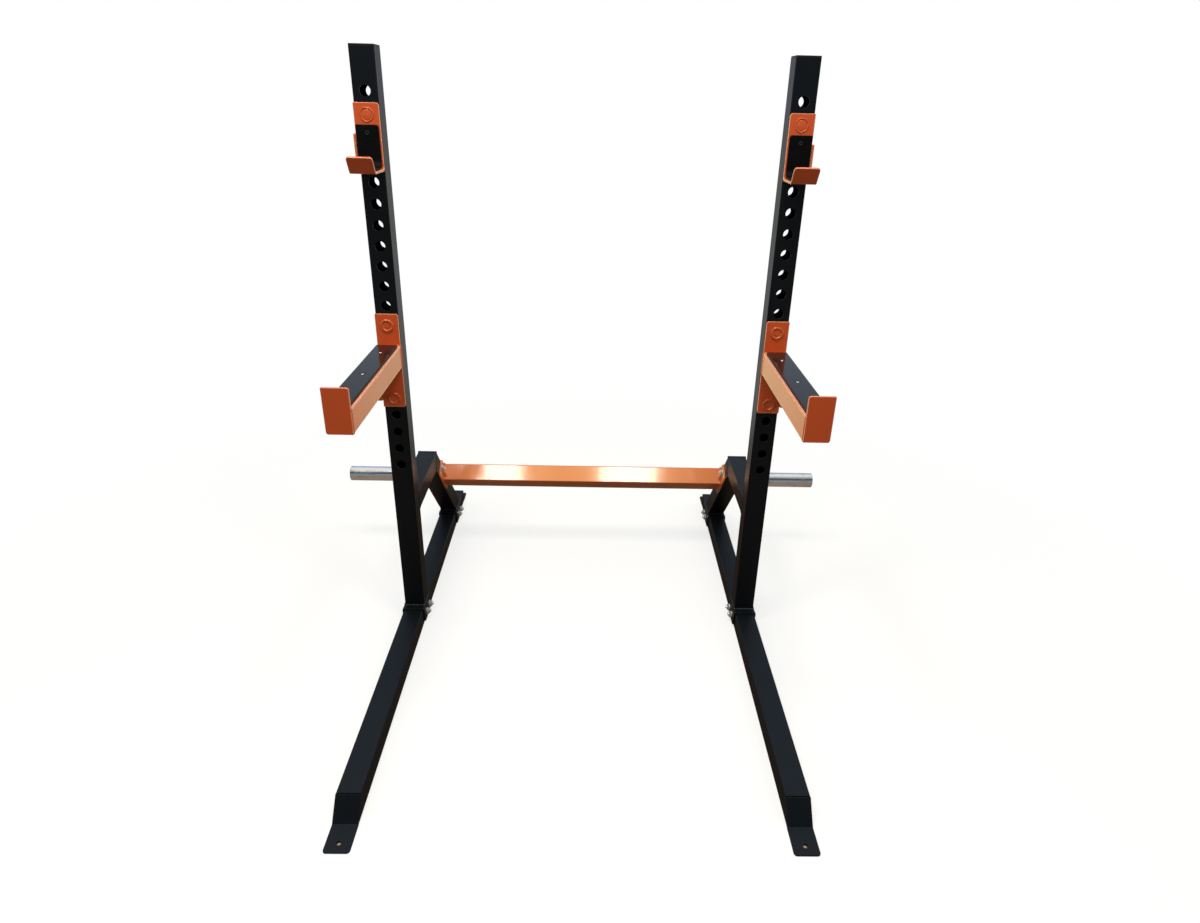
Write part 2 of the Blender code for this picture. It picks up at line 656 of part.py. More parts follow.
def make_spotter(name, sign):
    """A safety arm: hanging plate with two pins and a gusset, square arm, end plate and pad."""
    x = sign * MIDDLE
    inner_x = sign * INNER
    outer_x = sign * (OUTER_WIDTH / 2)
    side_x = sign * (OUTER_WIDTH / 2 + OUTER_EXTRA)
    top = ARM_PIN_Z + ARM_ABOVE_PIN
    foot = ARM_LOW_PIN_Z - ARM_BELOW_PIN
    mid = PLATE_FACE + PLATE / 2
    work = box((min(inner_x, side_x), PLATE_FACE, foot), (max(inner_x, side_x), PLATE_FACE + PLATE, top))
    round_corner(work, [(inner_x, mid, top), (inner_x, mid, foot)], END_ROUND)
    pin_at = (x, PLATE_FACE, ARM_PIN_Z)
    plate = add_object("spotter_plate_" + name, work, "orange_paint", pin_at)
    boolean(plate, pin_hole("spotter_pin_hole_" + name, sign, ARM_PIN_Z))
    boolean(plate, pin_hole("spotter_low_pin_hole_" + name, sign, ARM_LOW_PIN_Z))
    make_pin("spotter_upper_pin_" + name, sign, ARM_PIN_Z)
    make_pin("spotter_lower_pin_" + name, sign, ARM_LOW_PIN_Z)
    front = PLATE_FACE - CHEEK_FRONT
    back = FRONT_FACE + CHEEK_BACK
    high = ARM_PIN_Z - ARM_CHEEK_TOP
    low = ARM_PIN_Z - ARM_CHEEK_FOOT
    nose = FRONT_FACE - GUSSET_REACH
    shape = [(back, high), (front, high), (front, high - ARM_CHEEK_DROP), (nose, ARM_PIN_Z - GUSSET_TOP),
             (nose, ARM_PIN_Z - GUSSET_FOOT), (front, low), (back, low)]
    cheek_plate("spotter_side_plate_" + name, sign, shape, pin_at)
    tip = FRONT_FACE - ARM_REACH
    inside = tip + PLATE
    root = ((0, PLATE_FACE - GAP, 0), (0, 1, 0))
    end = ((0, inside + GAP, 0), (0, 1, 0))
    work = tube_between((x, 0, ARM_TOP - TUBE / 2), (0, -1, 0), (1, 0, 0), root, end)
    add_object("spotter_arm_" + name, work, "orange_paint", pin_at)
    x_low = x - TUBE / 2
    work = box((x_low, tip, ARM_TOP - TUBE), (x_low + TUBE, inside, ARM_TOP + END_RISE))
    end_mid = tip + PLATE / 2
    corners = [(inner_x, end_mid, ARM_TOP + END_RISE), (outer_x, end_mid, ARM_TOP - TUBE)]
    round_corner(work, corners, END_ROUND)
    add_object("spotter_end_plate_" + name, work, "orange_paint", pin_at)
    edge_in = sign * (INNER + PAD_INNER_IN)
    edge_out = sign * (OUTER_WIDTH / 2 - PAD_OUTER_IN)
    low = (min(edge_in, edge_out), inside + PAD_FRONT, ARM_TOP + GAP)
    high = (max(edge_in, edge_out), PLATE_FACE - PAD_BACK, ARM_TOP + GAP + PAD)
    add_object("spotter_pad_" + name, box(low, high), "pad_plastic", pin_at)


def main():
    """Build both sides of the rack and the crossbar between them."""
    clear_scene()
    make_crossbar()
    for name, sign in SIDES:
        make_upright(name, sign)
        make_floor_tube(name, sign)
        make_foot_plates(name, sign)
        make_saddle(name, sign, "front", FRONT_FACE + TUBE / 2, TUBE)
        make_saddle(name, sign, "rear", LEG_FOOT.y, LEG_FOOT_LONG)
        make_brace(name, sign)
        make_flange(name, sign)
        make_peg(name, sign)
        make_jcup(name, sign)
        make_spotter(name, sign)


main()
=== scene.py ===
"""The half rack's looks: rounded tubes and plates, weld beads, bolts, screws and finishes."""

from math import atan2, ceil, cos, pi, radians, sin, sqrt, tan

import bmesh
import bpy
import numpy as np
from mathutils import Matrix, Vector


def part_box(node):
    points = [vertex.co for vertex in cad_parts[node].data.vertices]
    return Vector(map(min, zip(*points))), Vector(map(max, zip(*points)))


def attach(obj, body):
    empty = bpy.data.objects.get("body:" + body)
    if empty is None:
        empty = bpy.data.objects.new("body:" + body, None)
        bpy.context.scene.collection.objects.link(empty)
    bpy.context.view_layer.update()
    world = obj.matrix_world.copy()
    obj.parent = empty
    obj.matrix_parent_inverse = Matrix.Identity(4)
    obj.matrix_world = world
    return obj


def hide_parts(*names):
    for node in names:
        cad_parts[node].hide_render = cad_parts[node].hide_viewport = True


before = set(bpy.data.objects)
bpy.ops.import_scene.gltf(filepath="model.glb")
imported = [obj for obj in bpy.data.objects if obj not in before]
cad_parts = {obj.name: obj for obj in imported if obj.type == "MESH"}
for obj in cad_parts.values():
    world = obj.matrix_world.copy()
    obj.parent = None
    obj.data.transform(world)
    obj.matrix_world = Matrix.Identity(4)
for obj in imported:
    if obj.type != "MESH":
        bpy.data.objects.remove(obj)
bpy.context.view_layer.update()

SIDES = (("left", -1), ("right", 1))
UP = (0, 0, 1)
BACK = (0, 1, 0)
ACROSS = (1, 0, 0)

# Sheet and tube, in metres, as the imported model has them
WALL = 0.002
TUBE_CORNER = 0.0035
PLATE = 0.005
FOOT_PLATE = 0.004
SADDLE_PLATE = 0.004
GAP = 0.0003
HOLE_D = 0.026
HOLE_PITCH = 0.0508
HOLES = 20
FLOOR_HOLE_D = 0.012
FLOOR_HOLE_IN = 0.025

# Bends, rounded rims and rounded plate corners. Four rounds in a row are those of the right side's plate
EDGE = 0.0009
CUP_BEND = 0.0075
CUP_ROUNDS = (0.007, 0, 0.007, 0.007)
LIP_LEAN = 0.023
LIP_HIGH = 0.036
LIP_COSINE = 0.842
CUP_CHEEK_ROUNDS = (0.003, 0.008, 0.008, 0.003)
LINER = 0.005
LINER_BEND = 0.0205
LINER_ROUNDS = (0.006, 0.001, 0.002, 0.002)
FOOT_BEND = 0.004
TAB_ROUND = 0.008
SADDLE_BEND = 0.004
SADDLE_ROUND = 0.014
FLANGE = 0.006
FLANGE_ROUND = 0.008
HANGING_ROUNDS = (0.006, 0, 0, 0.006)
END_ROUNDS = (0.0015, 0.006, 0.0015, 0.006)
PAD_ROUND = 0.002
PAD_EDGE = 0.0007
GUSSET_AHEAD = 0.003
GUSSET_DROPS = (0.012, 0.050)
GUSSET_RISE = 0.030
GUSSET_ROUNDS = (0.008, 0.008, 0.002, 0.004, 0.006, 0.008, 0.02)

# The upright's cap, the pins and the pegs. A pin's ends are pairs of a distance from its end and a change of
# radius, the waves in its weld give their number, start and height, and the plug's face is pairs of a depth
# below the peg's end and a share of the plug's radius
CAP_HEAD = 0.004
CAP_EDGE = 0.0016
CAP_LOWER_EDGE = 0.0004
CAP_STEP = 0.003
CAP_DISH = 0.0003
CAP_SLACK = 0.001
PIN_D = 0.024
PIN_TAPER = 0.003
PIN_CROWN = 0.0009
PIN_HEAD = ((-PIN_CROWN, -0.0016), (-0.0002, -0.0004), (0.001, 0))
PIN_NOSE = ((-0.0006, 0.0006), (0, -0.0004))
PIN_WELD_WAVES = ((3, 1, 0.0005), (7, 0, 0.0004))
TIP_SHARE = 0.05
PEG_WALL = 0.003
PEG_RIM = 0.0014
PEG_BORE_RIM = (0.0005, 0.0004)
PEG_PLUG = 0.014
PEG_PLUG_SLACK = 0.0005
PEG_PLUG_EDGE = 0.001
PEG_PLUG_RIM = (0.0008, 0.0006)
PEG_PLUG_DOWN = 0.0003
PEG_PLUG_DISH = 0.0014
PEG_PLUG_FACE = ((PEG_PLUG_DOWN, 0.72), (PEG_PLUG_DISH, 0.66), (PEG_PLUG_DISH, 0.2), (0.0012, 0.02))

# Weld beads: thickness, the spacing and depth of the ripples, and how far each lies from its seam
WELD = 0.0028
SLIM_WELD = WELD * 0.8
HEAVY_WELD = 0.0042
FINE_WELD = 0.0014
PIN_WELD = 0.0034
CUP_PIN_WELD = FINE_WELD * 1.2
RIPPLE = 0.0026
RIPPLE_DEPTH = 0.16
PIN_RIPPLE = 0.0042
PIN_RIPPLE_DEPTH = 0.05
PIN_BEAD_OUT = 0.0022
CUP_PIN_BEAD_OUT = 0.0032
FOOT_BEAD_OUT = 0.001
BEAD_LIFT = 0.0004
BEAD_TIP = 0.05
BEAM_BEAD_IN = 0.001
FLANGE_BEAD_OUT = 0.0008
TOE_BEAD_IN = 0.001
TOE_BEAD_BACK = 0.0006
CHEEK_BEAD_IN = 0.004
CHEEK_BEAD_OUT = 0.0012
SUNK = 0.0002

# Bolts, nuts, washers and screws. The socket's steps are pairs of a share of its width and a depth
BOLT_D = 0.010
THREAD_PITCH = 0.0015
THREAD_DEPTH = 0.0009
THREAD_SUNK = 0.0005
HEX_ACROSS = 0.017
HEX_CIRCLE = 0.97
HEX_CHAMFER = radians(28)
HEAD_HIGH = 0.0065
NUT_HIGH = 0.0085
BOLT_END = 0.004
WASHER_D = 0.0215
WASHER = 0.0015
WASHER_EDGE = 0.0003
WASHER_TIGHT = 0.0004
SCREW_D = 0.011
SCREW_LIFT = 0.0018
SCREW_SUNK = 0.001
SCREW_CROWN = 0.0012
SCREW_BOW = pi / 2.6
SCREW_SOCKET = 0.004
SOCKET_RIM = 0.0005
SOCKET_STEPS = ((1, 0.0004), (0.98, 0.0016), (TIP_SHARE, 0.0019))
SCREW_RECESS_D = 0.0145
SCREW_RECESS = 0.0022
PAD_SCREWS = 3
PAD_SCREW_BACK = 0.069
PAD_SCREW_PITCH = 0.173
LINER_SCREW_DOWN = 0.018
CUT_PAST = 0.01

# Faces meet smoothly below SHARP_ANGLE, and arcs take a point at least every ARC_TURN or BEND_TURN. A narrow
# corner moves in as if the cosine of its half turn were at least MITRE_LEAST
SHARP_ANGLE = radians(38)
ARC_TURN = radians(11)
BEND_TURN = radians(10)
MITRE_LEAST = 0.3
EDGE_COSINES = (0.97, 0.86)

# The mirrored room: colours in linear light, by the sine of their height angle
WHITE = (1, 1, 1, 1)
ROOM_CEILING = (0.95, 0.94, 0.90, 1)
WALL_MIDDLE = (0.26, 0.315, 0.38, 1)
BACK_ROOM = ((0.0, (0.64, 0.66, 0.74, 1)), (0.34, WALL_MIDDLE), (0.54, WALL_MIDDLE),
             (0.67, (0.48, 0.66, 1.0, 1)), (0.92, ROOM_CEILING))
FRONT_HIGH = (0.030, 0.055, 0.090, 1)
FRONT_TOP = (0.42, 0.42, 0.44, 1)
FRONT_ROOM = ((0.05, (0.24, 0.33, 0.43, 1)), (0.42, FRONT_HIGH), (0.70, FRONT_HIGH), (0.79, FRONT_TOP),
              (0.85, FRONT_TOP), (0.90, (0.14, 0.14, 0.08, 1)), (0.98, ROOM_CEILING))
ROOM_TURN = (-0.3, 0.6)

# The light that falls on the rack, by the same sine, and the windows to its sides
LIGHT_SIDES = (0.66, 0.65, 0.64, 1)
LIGHT_ABOVE = (0.90, 0.90, 0.90, 1)
LIGHT_RISE = (0.1, 0.9)
SIDE_WINDOWS = (2.90, 2.80, 1.80, 1)
WINDOW_TURN = (0.70, 0.95)
LAMP_SIZE = (0.40, 0.46)
LAMPS = (("left", -0.638), ("right", 0.295))
LAMP_Y, LAMP_Z = -0.77, 2.80
LAMP_WATTS = 24
LAMP_COLOUR = (1.0, 0.95, 0.85)

# The floor: its colours in reflections, the shade painted under the foot plates' holes with a brown middle,
# and as bounced light, and where they change
FLOOR_MIRRORED_FRONT = (0.040, 0.042, 0.046, 1)
FLOOR_MIRRORED_NEAR = (0.098, 0.062, 0.042, 1)
FLOOR_MIRRORED_FAR = (0.68, 0.69, 0.66, 1)
FLOOR_MIRRORED_ASIDE = (0.26, 0.20, 0.16, 1)
# Painted shade: the floor under each foot plate's hole is dark to the camera, brown at the middle
HOLE_PAINTED_SHADE = (0.020, 0.014, 0.012, 1)
FLOOR_IN_HOLE_MIDDLE = (0.34, 0.26, 0.18, 1)
HOLE_SPOT = 0.34
FLOOR_BOUNCE = (0.12, 0.09, 0.07, 1)
PAPER = (0.80, 0.80, 0.80, 1)
PAPER_SHARE = 0.30
PAPER_FADE = (1.1, 2.3)
FRONT_FADE = (-1.8, -0.4)
FAR_FADE = (0.85, 1.9)
ASIDE_FADE = (0.58, 0.66)
FLOOR_REACH = 40.0

# Camera, solved from the photo for a frame of 1200 by 923 pixels
PHOTO_WIDTH, PHOTO_HEIGHT = 1200, 923
CAMERA_PLACE = (0.0208, -2.0805, 1.4988)
CAMERA_YAW = 0.0234
CAMERA_PITCH = -0.4458
CAMERA_ROLL = 0.0258
CAMERA_FOCUS_PX = 789.9
CAMERA_CENTRE_PX = (605.3, 477.0)
CAMERA_CLIP = (0.05, 120)
SENSOR_MM = 36.0


def middle_of(node):
    """Centre of a CAD node's box."""
    low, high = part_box(node)
    return (low + high) / 2


def operator(operation, swapped=False):
    """A Python operator between shader values that adds a Math node."""
    def act(self, other):
        return self.math(operation, other, self) if swapped else self.math(operation, self, other)
    return act


def feed(tree, slot, value):
    """Give a socket a shader value by a link, or a plain value."""
    if isinstance(value, Wire):
        tree.links.new(value.socket, slot)
    else:
        slot.default_value = value


class Wire:
    """A shader value that takes part in sums: each operator adds its Math node."""

    def __init__(self, tree, socket):
        self.tree = tree
        self.socket = socket

    def math(self, operation, *values):
        made = self.tree.nodes.new("ShaderNodeMath")
        made.operation = operation
        for slot, value in zip(made.inputs, values):
            feed(self.tree, slot, value)
        return Wire(self.tree, made.outputs[0])

    def absolute(self):
        return self.math("ABSOLUTE", self)

    __add__ = operator("ADD")
    __radd__ = operator("ADD", swapped=True)
    __sub__ = operator("SUBTRACT")
    __rsub__ = operator("SUBTRACT", swapped=True)
    __mul__ = operator("MULTIPLY")
    __rmul__ = operator("MULTIPLY", swapped=True)
    __pow__ = operator("POWER")
    __gt__ = operator("GREATER_THAN")


class Shader:
    """Builds one node tree. add() makes any node: its type, its settings, then its sockets."""

    def __init__(self, tree):
        self.tree = tree
        tree.nodes.clear()

    def add(self, kind, settings=None, sockets=None, out=0):
        node = self.tree.nodes.new(kind)
        for key, value in (settings or {}).items():
            setattr(node, key, value)
        for key, value in (sockets or {}).items():
            feed(self.tree, node.inputs[key], value)
        return Wire(self.tree, node.outputs[out]) if len(node.outputs) else None

    def ramp(self, value, stops):
        """Colour by a value from 0 to 1, between stops of place and colour."""
        node = self.tree.nodes.new("ShaderNodeValToRGB")
        feed(self.tree, node.inputs[0], value)
        elements = node.color_ramp.elements
        while len(elements) < len(stops):
            elements.new(0.5)
        for element, (place, colour) in zip(elements, stops):
            element.position = place
            element.color = colour
        return Wire(self.tree, node.outputs[0])

    def split(self, vector):
        """X, Y and Z of a vector."""
        node = self.tree.nodes.new("ShaderNodeSeparateXYZ")
        feed(self.tree, node.inputs[0], vector)
        return [Wire(self.tree, output) for output in node.outputs]

    def noise(self, scale, detail=2.0, rough=0.5, stretch=(1, 1, 1)):
        """Noise by Object coordinates in metres, stretched for patterns that run one way."""
        where = self.add("ShaderNodeTexCoord", out="Object")
        place = self.add("ShaderNodeMapping", None, {"Vector": where, "Scale": stretch})
        sockets = {"Vector": place, "Scale": scale, "Detail": detail, "Roughness": rough}
        return self.add("ShaderNodeTexNoise", None, sockets, "Fac")

    def mix(self, amount, first, second):
        """Colour between two colours, by an amount from 0 to 1."""
        sockets = {0: amount, 6: first, 7: second}
        return self.add("ShaderNodeMix", {"data_type": "RGBA"}, sockets, 2)

    def clamp(self, value, low, high, to_low=0.0, to_high=1.0):
        sockets = {"Value": value, "From Min": low, "From Max": high, "To Min": to_low, "To Max": to_high}
        return self.add("ShaderNodeMapRange", {"clamp": True}, sockets)

    def bump(self, height, distance, strength=1.0, normal=None):
        sockets = {"Height": height, "Distance": distance, "Strength": strength}
        if normal:
            sockets["Normal"] = normal
        return self.add("ShaderNodeBump", None, sockets)


def rgb(red, green, blue):
    """A colour from its values in the photo, 0 to 255, as linear light."""
    values = [value / 255 for value in (red, green, blue)]
    return tuple(v / 12.92 if v <= 0.04045 else ((v + 0.055) / 1.055) ** 2.4 for v in values) + (1.0,)


class Finish(Shader):
    """The shader of a new material."""

    def __init__(self, name):
        self.made = bpy.data.materials.new(name)
        self.made.use_nodes = True
        super().__init__(self.made.node_tree)

    def surface(self, colour, rough, normal, **sockets):
        """The material, closed by one Principled shader. Words with _ stand for socket names with spaces."""
        named = {"Base Color": colour, "Roughness": rough, "Normal": normal}
        named.update({key.replace("_", " "): value for key, value in sockets.items()})
        result = self.add("ShaderNodeBsdfPrincipled", None, named)
        self.add("ShaderNodeOutputMaterial", None, {"Surface": result})
        return self.made


def edge_mask(shader, radius):
    """1 on rounded edges and 0 on flats: how far a widely rounded normal turns from the real one."""
    soft = shader.add("ShaderNodeBevel", {"samples": 4}, {"Radius": radius})
    real = shader.add("ShaderNodeNewGeometry", out="Normal")
    same = shader.add("ShaderNodeVectorMath", {"operation": "DOT_PRODUCT"}, {0: soft, 1: real}, "Value")
    return shader.clamp(same, *EDGE_COSINES)


def black_paint(name, least_rough, shine):
    """Black paint: fine pebbled skin, slight clouding, thin scuffs along the edges and a faint painted
    highlight on every edge.
    """
    shader = Finish(name)
    cloud = shader.noise(6.0, 3.0)
    drift = shader.noise(3.0, 2.0, stretch=(9, 9, 1))
    pebble = shader.noise(900.0, 1.0)
    peel = shader.noise(230.0, 2.0)
    scuff = shader.noise(420.0, 3.0, 0.7)
    edge = edge_mask(shader, 0.0014)
    worn = shader.clamp(scuff, 0.52, 0.62) * edge
    paint = shader.mix(cloud, rgb(4, 6, 9), rgb(6, 8, 12))
    # Lighter edges: scuffs in patches (wear), and a faint grey painted highlight along every edge
    colour = shader.mix(worn * 0.35 + edge * 0.15, paint, rgb(84, 88, 94))
    rough = least_rough + 0.08 * cloud + 0.08 * drift + 0.06 * pebble
    normal = shader.bump(pebble, 0.00006, 0.45, shader.bump(peel, 0.00016, 0.25))
    return shader.surface(colour, rough, normal, Specular_IOR_Level=shine, Specular_Tint=(0.82, 0.92, 1.0, 1))


def orange_paint(name, shine, peel_strength, gloss, rim, haze=0.5):
    """Orange paint: soft peel, faint dust specks and a pale highlight painted along its rounded edges.

    shine is how strongly it mirrors, with the yellow tint that haze on it has in the photo, gloss is the
    weight of a clear layer above, rim is how far the pale highlight painted on the edges reaches, and haze is
    the weight of the yellow bloom at low angles."""
    shader = Finish(name)
    cloud = shader.noise(9.0, 3.0)
    peel = shader.noise(260.0, 2.0)
    wave = shader.noise(70.0, 2.0, 0.4, stretch=(1, 0.08, 0.08))
    speck = shader.noise(1100.0, 1.0)
    edge = edge_mask(shader, rim)
    paint = shader.mix(cloud, rgb(174, 62, 28), rgb(182, 69, 31))
    dusted = shader.mix(shader.clamp(speck, 0.66, 0.76) * 0.22, paint, rgb(126, 50, 24))
    # Painted highlight: rounded edges take a pale, nearly white colour, as if lit there
    colour = shader.mix(edge * 0.90, dusted, rgb(246, 216, 190))
    rough = 0.30 + 0.10 * cloud + 0.06 * wave
    normal = shader.bump(peel, 0.00016, peel_strength, shader.bump(wave, 0.0006, gloss * 0.5))
    return shader.surface(colour, rough, normal, Specular_IOR_Level=shine, Specular_Tint=(1.0, 0.80, 0.34, 1),
                          Coat_Weight=gloss, Coat_Roughness=0.09,
                          Sheen_Weight=haze, Sheen_Roughness=0.3, Sheen_Tint=(1.0, 0.80, 0.32, 1))


def bright_peg_steel():
    """Chromed bar with long fine draw lines and a few dull rubs where plates have slid."""
    shader = Finish("bright_peg_steel")
    lines = shader.noise(420.0, 3.0, 0.6, stretch=(0.02, 1, 1))
    rub = shader.noise(26.0, 3.0, 0.6, stretch=(0.5, 1, 1))
    smudge = shader.noise(70.0, 3.0, 0.6, stretch=(0.4, 1, 1))
    dull = shader.clamp(rub, 0.50, 0.68)
    clean = shader.mix(shader.clamp(smudge, 0.54, 0.66) * 0.35, rgb(246, 245, 244), rgb(150, 146, 144))
    colour = shader.mix(dull * 0.4, clean, rgb(190, 184, 178))
    rough = 0.16 + 0.10 * lines + 0.14 * dull
    normal = shader.bump(lines, 0.00006, 0.4)
    return shader.surface(colour, rough, normal, Metallic=1.0)


def grained(name, grain, pattern, colours, rough, relief, **sockets):
    """A fine-grained skin. Its colour runs between two by a wider pattern, and the grain roughens it.

    pattern is a noise scale and the values between which the colour changes, rough the least roughness and
    what the grain adds, and relief the bump's distance and strength."""
    shader = Finish(name)
    wide = shader.clamp(shader.noise(pattern[0], 2.0), pattern[1], pattern[2])
    fine = shader.noise(grain, 2.0)
    normal = shader.bump(fine, *relief)
    colour = shader.mix(wide, rgb(*colours[0]), rgb(*colours[1]))
    return shader.surface(colour, rough[0] + rough[1] * fine, normal, **sockets)


def liner_plastic():
    """Dull black wear liner with rub marks that run across, where the bar lies."""
    shader = Finish("liner_plastic")
    rub = shader.noise(240.0, 3.0, 0.65, stretch=(0.04, 1, 1))
    cloud = shader.noise(18.0, 2.0)
    marks = shader.clamp(rub, 0.55, 0.72)
    colour = shader.mix(marks * 0.25, rgb(2, 3, 4), rgb(24, 25, 27))
    rough = 0.58 + 0.12 * cloud + 0.14 * marks
    normal = shader.bump(rub, 0.00008, 0.4)
    return shader.surface(colour, rough, normal, Specular_IOR_Level=0.1)


def pad_plastic():
    """Smooth dark pad that mirrors the room, with fine scratches, thin smears and painted dark red-brown
    shade on its upright sides, which are dull.
    """
    shader = Finish("pad_plastic")
    scratch = shader.noise(520.0, 3.0, 0.7, stretch=(1, 0.03, 1))
    smear = shader.noise(14.0, 3.0, 0.6)
    fine = shader.clamp(scratch, 0.60, 0.74)
    film = shader.clamp(smear, 0.45, 0.75)
    # Painted shade: the upright sides, found by the normal, are coloured dark red-brown and made dull
    side = shader.clamp(shader.split(shader.add("ShaderNodeNewGeometry", out="Normal"))[2], 0.75, 0.35)
    top = shader.mix(fine * 0.25, rgb(13, 15, 17), rgb(58, 62, 68))
    colour = shader.mix(side, top, rgb(58, 24, 18))
    rough = (0.08 + 0.08 * film + 0.14 * fine) * (1.0 - side) + 0.75 * side
    normal = shader.bump(scratch, 0.00004, 0.3)
    return shader.surface(colour, rough, normal, Specular_IOR_Level=0.5)


# Black: satin on tubes and plates, thick and shiny over weld beads
BLACK = black_paint("black_powder_coat", least_rough=0.31, shine=0.26)
BLACK_BEAD = black_paint("black_bead_coat", least_rough=0.16, shine=0.8)
# Orange: satin on plates, shiny on the crossbar, with the widest painted edge highlight along the arm tubes,
# thick over weld beads
ORANGE = orange_paint("orange_powder_coat", 0.9, 0.35, gloss=0.22, rim=0.0026)
ORANGE_TUBE = orange_paint("orange_tube_coat", 1.0, 0.12, gloss=0.62, rim=0.0036, haze=0.6)
ORANGE_ARM = orange_paint("orange_arm_coat", 1.0, 0.12, gloss=0.20, rim=0.0070, haze=1.0)
ORANGE_BEAD = orange_paint("orange_bead_coat", 1.0, 0.20, gloss=0.40, rim=0.0002)
PEG_STEEL = bright_peg_steel()
# Bright zinc with a faint warm and blue bloom, black moulded plugs, and screws with bare metal showing
ZINC = grained("zinc_plate", 1600.0, (160.0, 0.35, 0.65), ((232, 235, 240), (232, 230, 222)),
               (0.16, 0.14), (0.00004, 0.35), Metallic=0.75)
MOULDED = grained("moulded_plastic", 1100.0, (30.0, 0.0, 1.0), ((14, 14, 15), (22, 22, 24)),
                  (0.46, 0.14), (0.0001, 0.5), Specular_IOR_Level=0.3)
LINER_BLACK = liner_plastic()
PAD_DARK = pad_plastic()
SCREW = grained("dark_screw_steel", 1500.0, (1500.0, 0.4, 0.7), ((158, 162, 168), (214, 216, 220)),
                (0.22, 0.16), (0.00004, 0.35), Metallic=1.0)


def shell(rings, closed=False):
    """Points and faces of stacked rings, an array of ring, point and coordinate, with flat end caps.

    Quads join each point of a ring and its neighbour with those of the ring after it."""
    levels, count = rings.shape[:2]
    ring = np.arange(levels if closed else levels - 1)[:, None]
    step = np.arange(count)[None, :]
    after = (step + 1) % count
    following = (ring + 1) % levels
    corners = [ring * count + step, ring * count + after, following * count + after, following * count + step]
    faces = np.stack(corners, -1).reshape(-1, 4).tolist()
    if not closed:
        faces.append(list(range(count))[::-1])
        faces.append(list(range(levels * count - count, levels * count)))
    return rings.reshape(-1, 3), faces


def joined(*shells):
    """Several sets of points and faces as one."""
    points = []
    faces = []
    shift = 0
    for some, quads in shells:
        points.append(np.asarray(some, float))
        faces += [[index + shift for index in quad] for quad in quads]
        shift += len(some)
    return np.concatenate(points), faces


def mesh_object(name, points, faces):
    """A linked mesh object at the origin whose faces point outwards."""
    mesh = bpy.data.meshes.new(name)
    mesh.from_pydata(np.asarray(points, float).tolist(), [], faces)
    work = bmesh.new()
    work.from_mesh(mesh)
    bmesh.ops.recalc_face_normals(work, faces=work.faces)
    work.to_mesh(mesh)
    work.free()
    made = bpy.data.objects.new(name, mesh)
    bpy.context.scene.collection.objects.link(made)
    return made


def make_piece(title, shape, finish, body, covers=(), cutter=None):
    """A finished piece: cut, shaded, painted and riding on its body in place of its CAD nodes."""
    piece = mesh_object(title, *shape)
    if cutter:
        step = piece.modifiers.new("cut", "BOOLEAN")
        step.operation = "DIFFERENCE"
        step.solver = "EXACT"
        step.object = cutter
        bpy.context.view_layer.update()
        ready = piece.evaluated_get(bpy.context.evaluated_depsgraph_get())
        cut = bpy.data.meshes.new_from_object(ready)
        piece.modifiers.clear()
        piece.data = cut
        bpy.data.objects.remove(cutter)
    piece.data.shade_smooth()
    piece.data.set_sharp_from_angle(angle=SHARP_ANGLE)
    level = piece.modifiers.new("flat faces stay flat", "WEIGHTED_NORMAL")
    level.mode = "FACE_AREA"
    level.weight = 100
    level.keep_sharp = True
    piece.data.materials.clear()
    piece.data.materials.append(finish)
    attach(piece, body)
    if covers:
        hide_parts(*covers)


def unit(vectors):
    """Every vector at length 1."""
    return vectors / np.linalg.norm(vectors, axis=-1, keepdims=True)


def arc_angles(first, last, turn):
    """Start, sweep and angles, at most turn apart, from one direction to another the short way round."""
    start = atan2(first[1], first[0])
    sweep = (atan2(last[1], last[0]) - start + pi) % (2 * pi) - pi
    return start, sweep, start + np.linspace(0, sweep, max(3, ceil(abs(sweep) / turn) + 1))


def distances(path):
    """How far along a path each of its points lies."""
    return np.concatenate([[0], np.cumsum(np.linalg.norm(np.diff(path, axis=0), axis=1))])


def points_at(where, distance, path):
    """The points that lie so far along a path."""
    return np.stack([np.interp(where, distance, column) for column in path.T], -1)


def fillet_outline(corners, radii, turn=ARC_TURN):
    """A closed outline whose corners give way to arcs, each tangent to both of its sides."""
    corners = np.asarray(corners, float)
    points = []
    for index, radius in enumerate(radii):
        corner = corners[index]
        if radius <= 0:
            points.append(corner)
            continue
        back = unit(corners[index - 1] - corner)
        ahead = unit(corners[(index + 1) % len(corners)] - corner)
        half = np.arccos(np.clip(back @ ahead, -1, 1)) / 2
        centre = corner + unit(back + ahead) * radius / sin(half)
        first = corner + back * radius / tan(half) - centre
        last = corner + ahead * radius / tan(half) - centre
        _, _, angles = arc_angles(first, last, turn)
        points += list(centre + radius * np.stack([np.cos(angles), np.sin(angles)], -1))
    return np.array(points)


def inset_outline(outline, amounts):
    """The outline moved inwards by each amount, along the mitred normal at every point."""
    ahead = np.roll(outline, -1, 0)
    before = unit(outline - np.roll(outline, 1, 0))
    after = unit(ahead - outline)
    area = np.sum(outline[:, 0] * ahead[:, 1] - ahead[:, 0] * outline[:, 1]) / 2
    inward = unit(np.stack([-(before + after)[:, 1], (before + after)[:, 0]], -1) * np.sign(area))
    along = np.sum(inward * np.stack([-before[:, 1], before[:, 0]], -1) * np.sign(area), 1)
    inward /= np.maximum(along, MITRE_LEAST)[:, None]
    return outline[None] + np.asarray(amounts)[:, None, None] * inward[None]


def rounded_rim(high, edge, steps=3):
    """Profile of a plate's rim as (inset, height): a quarter circle of the edge radius at both faces."""
    angle = np.linspace(0, pi / 2, steps + 1)
    low_inset = edge * (1 - np.sin(angle))
    low_high = edge * (1 - np.cos(angle))
    inset = np.concatenate([low_inset, low_inset[::-1]])
    height = np.concatenate([low_high, high - low_high[::-1]])
    return inset, height


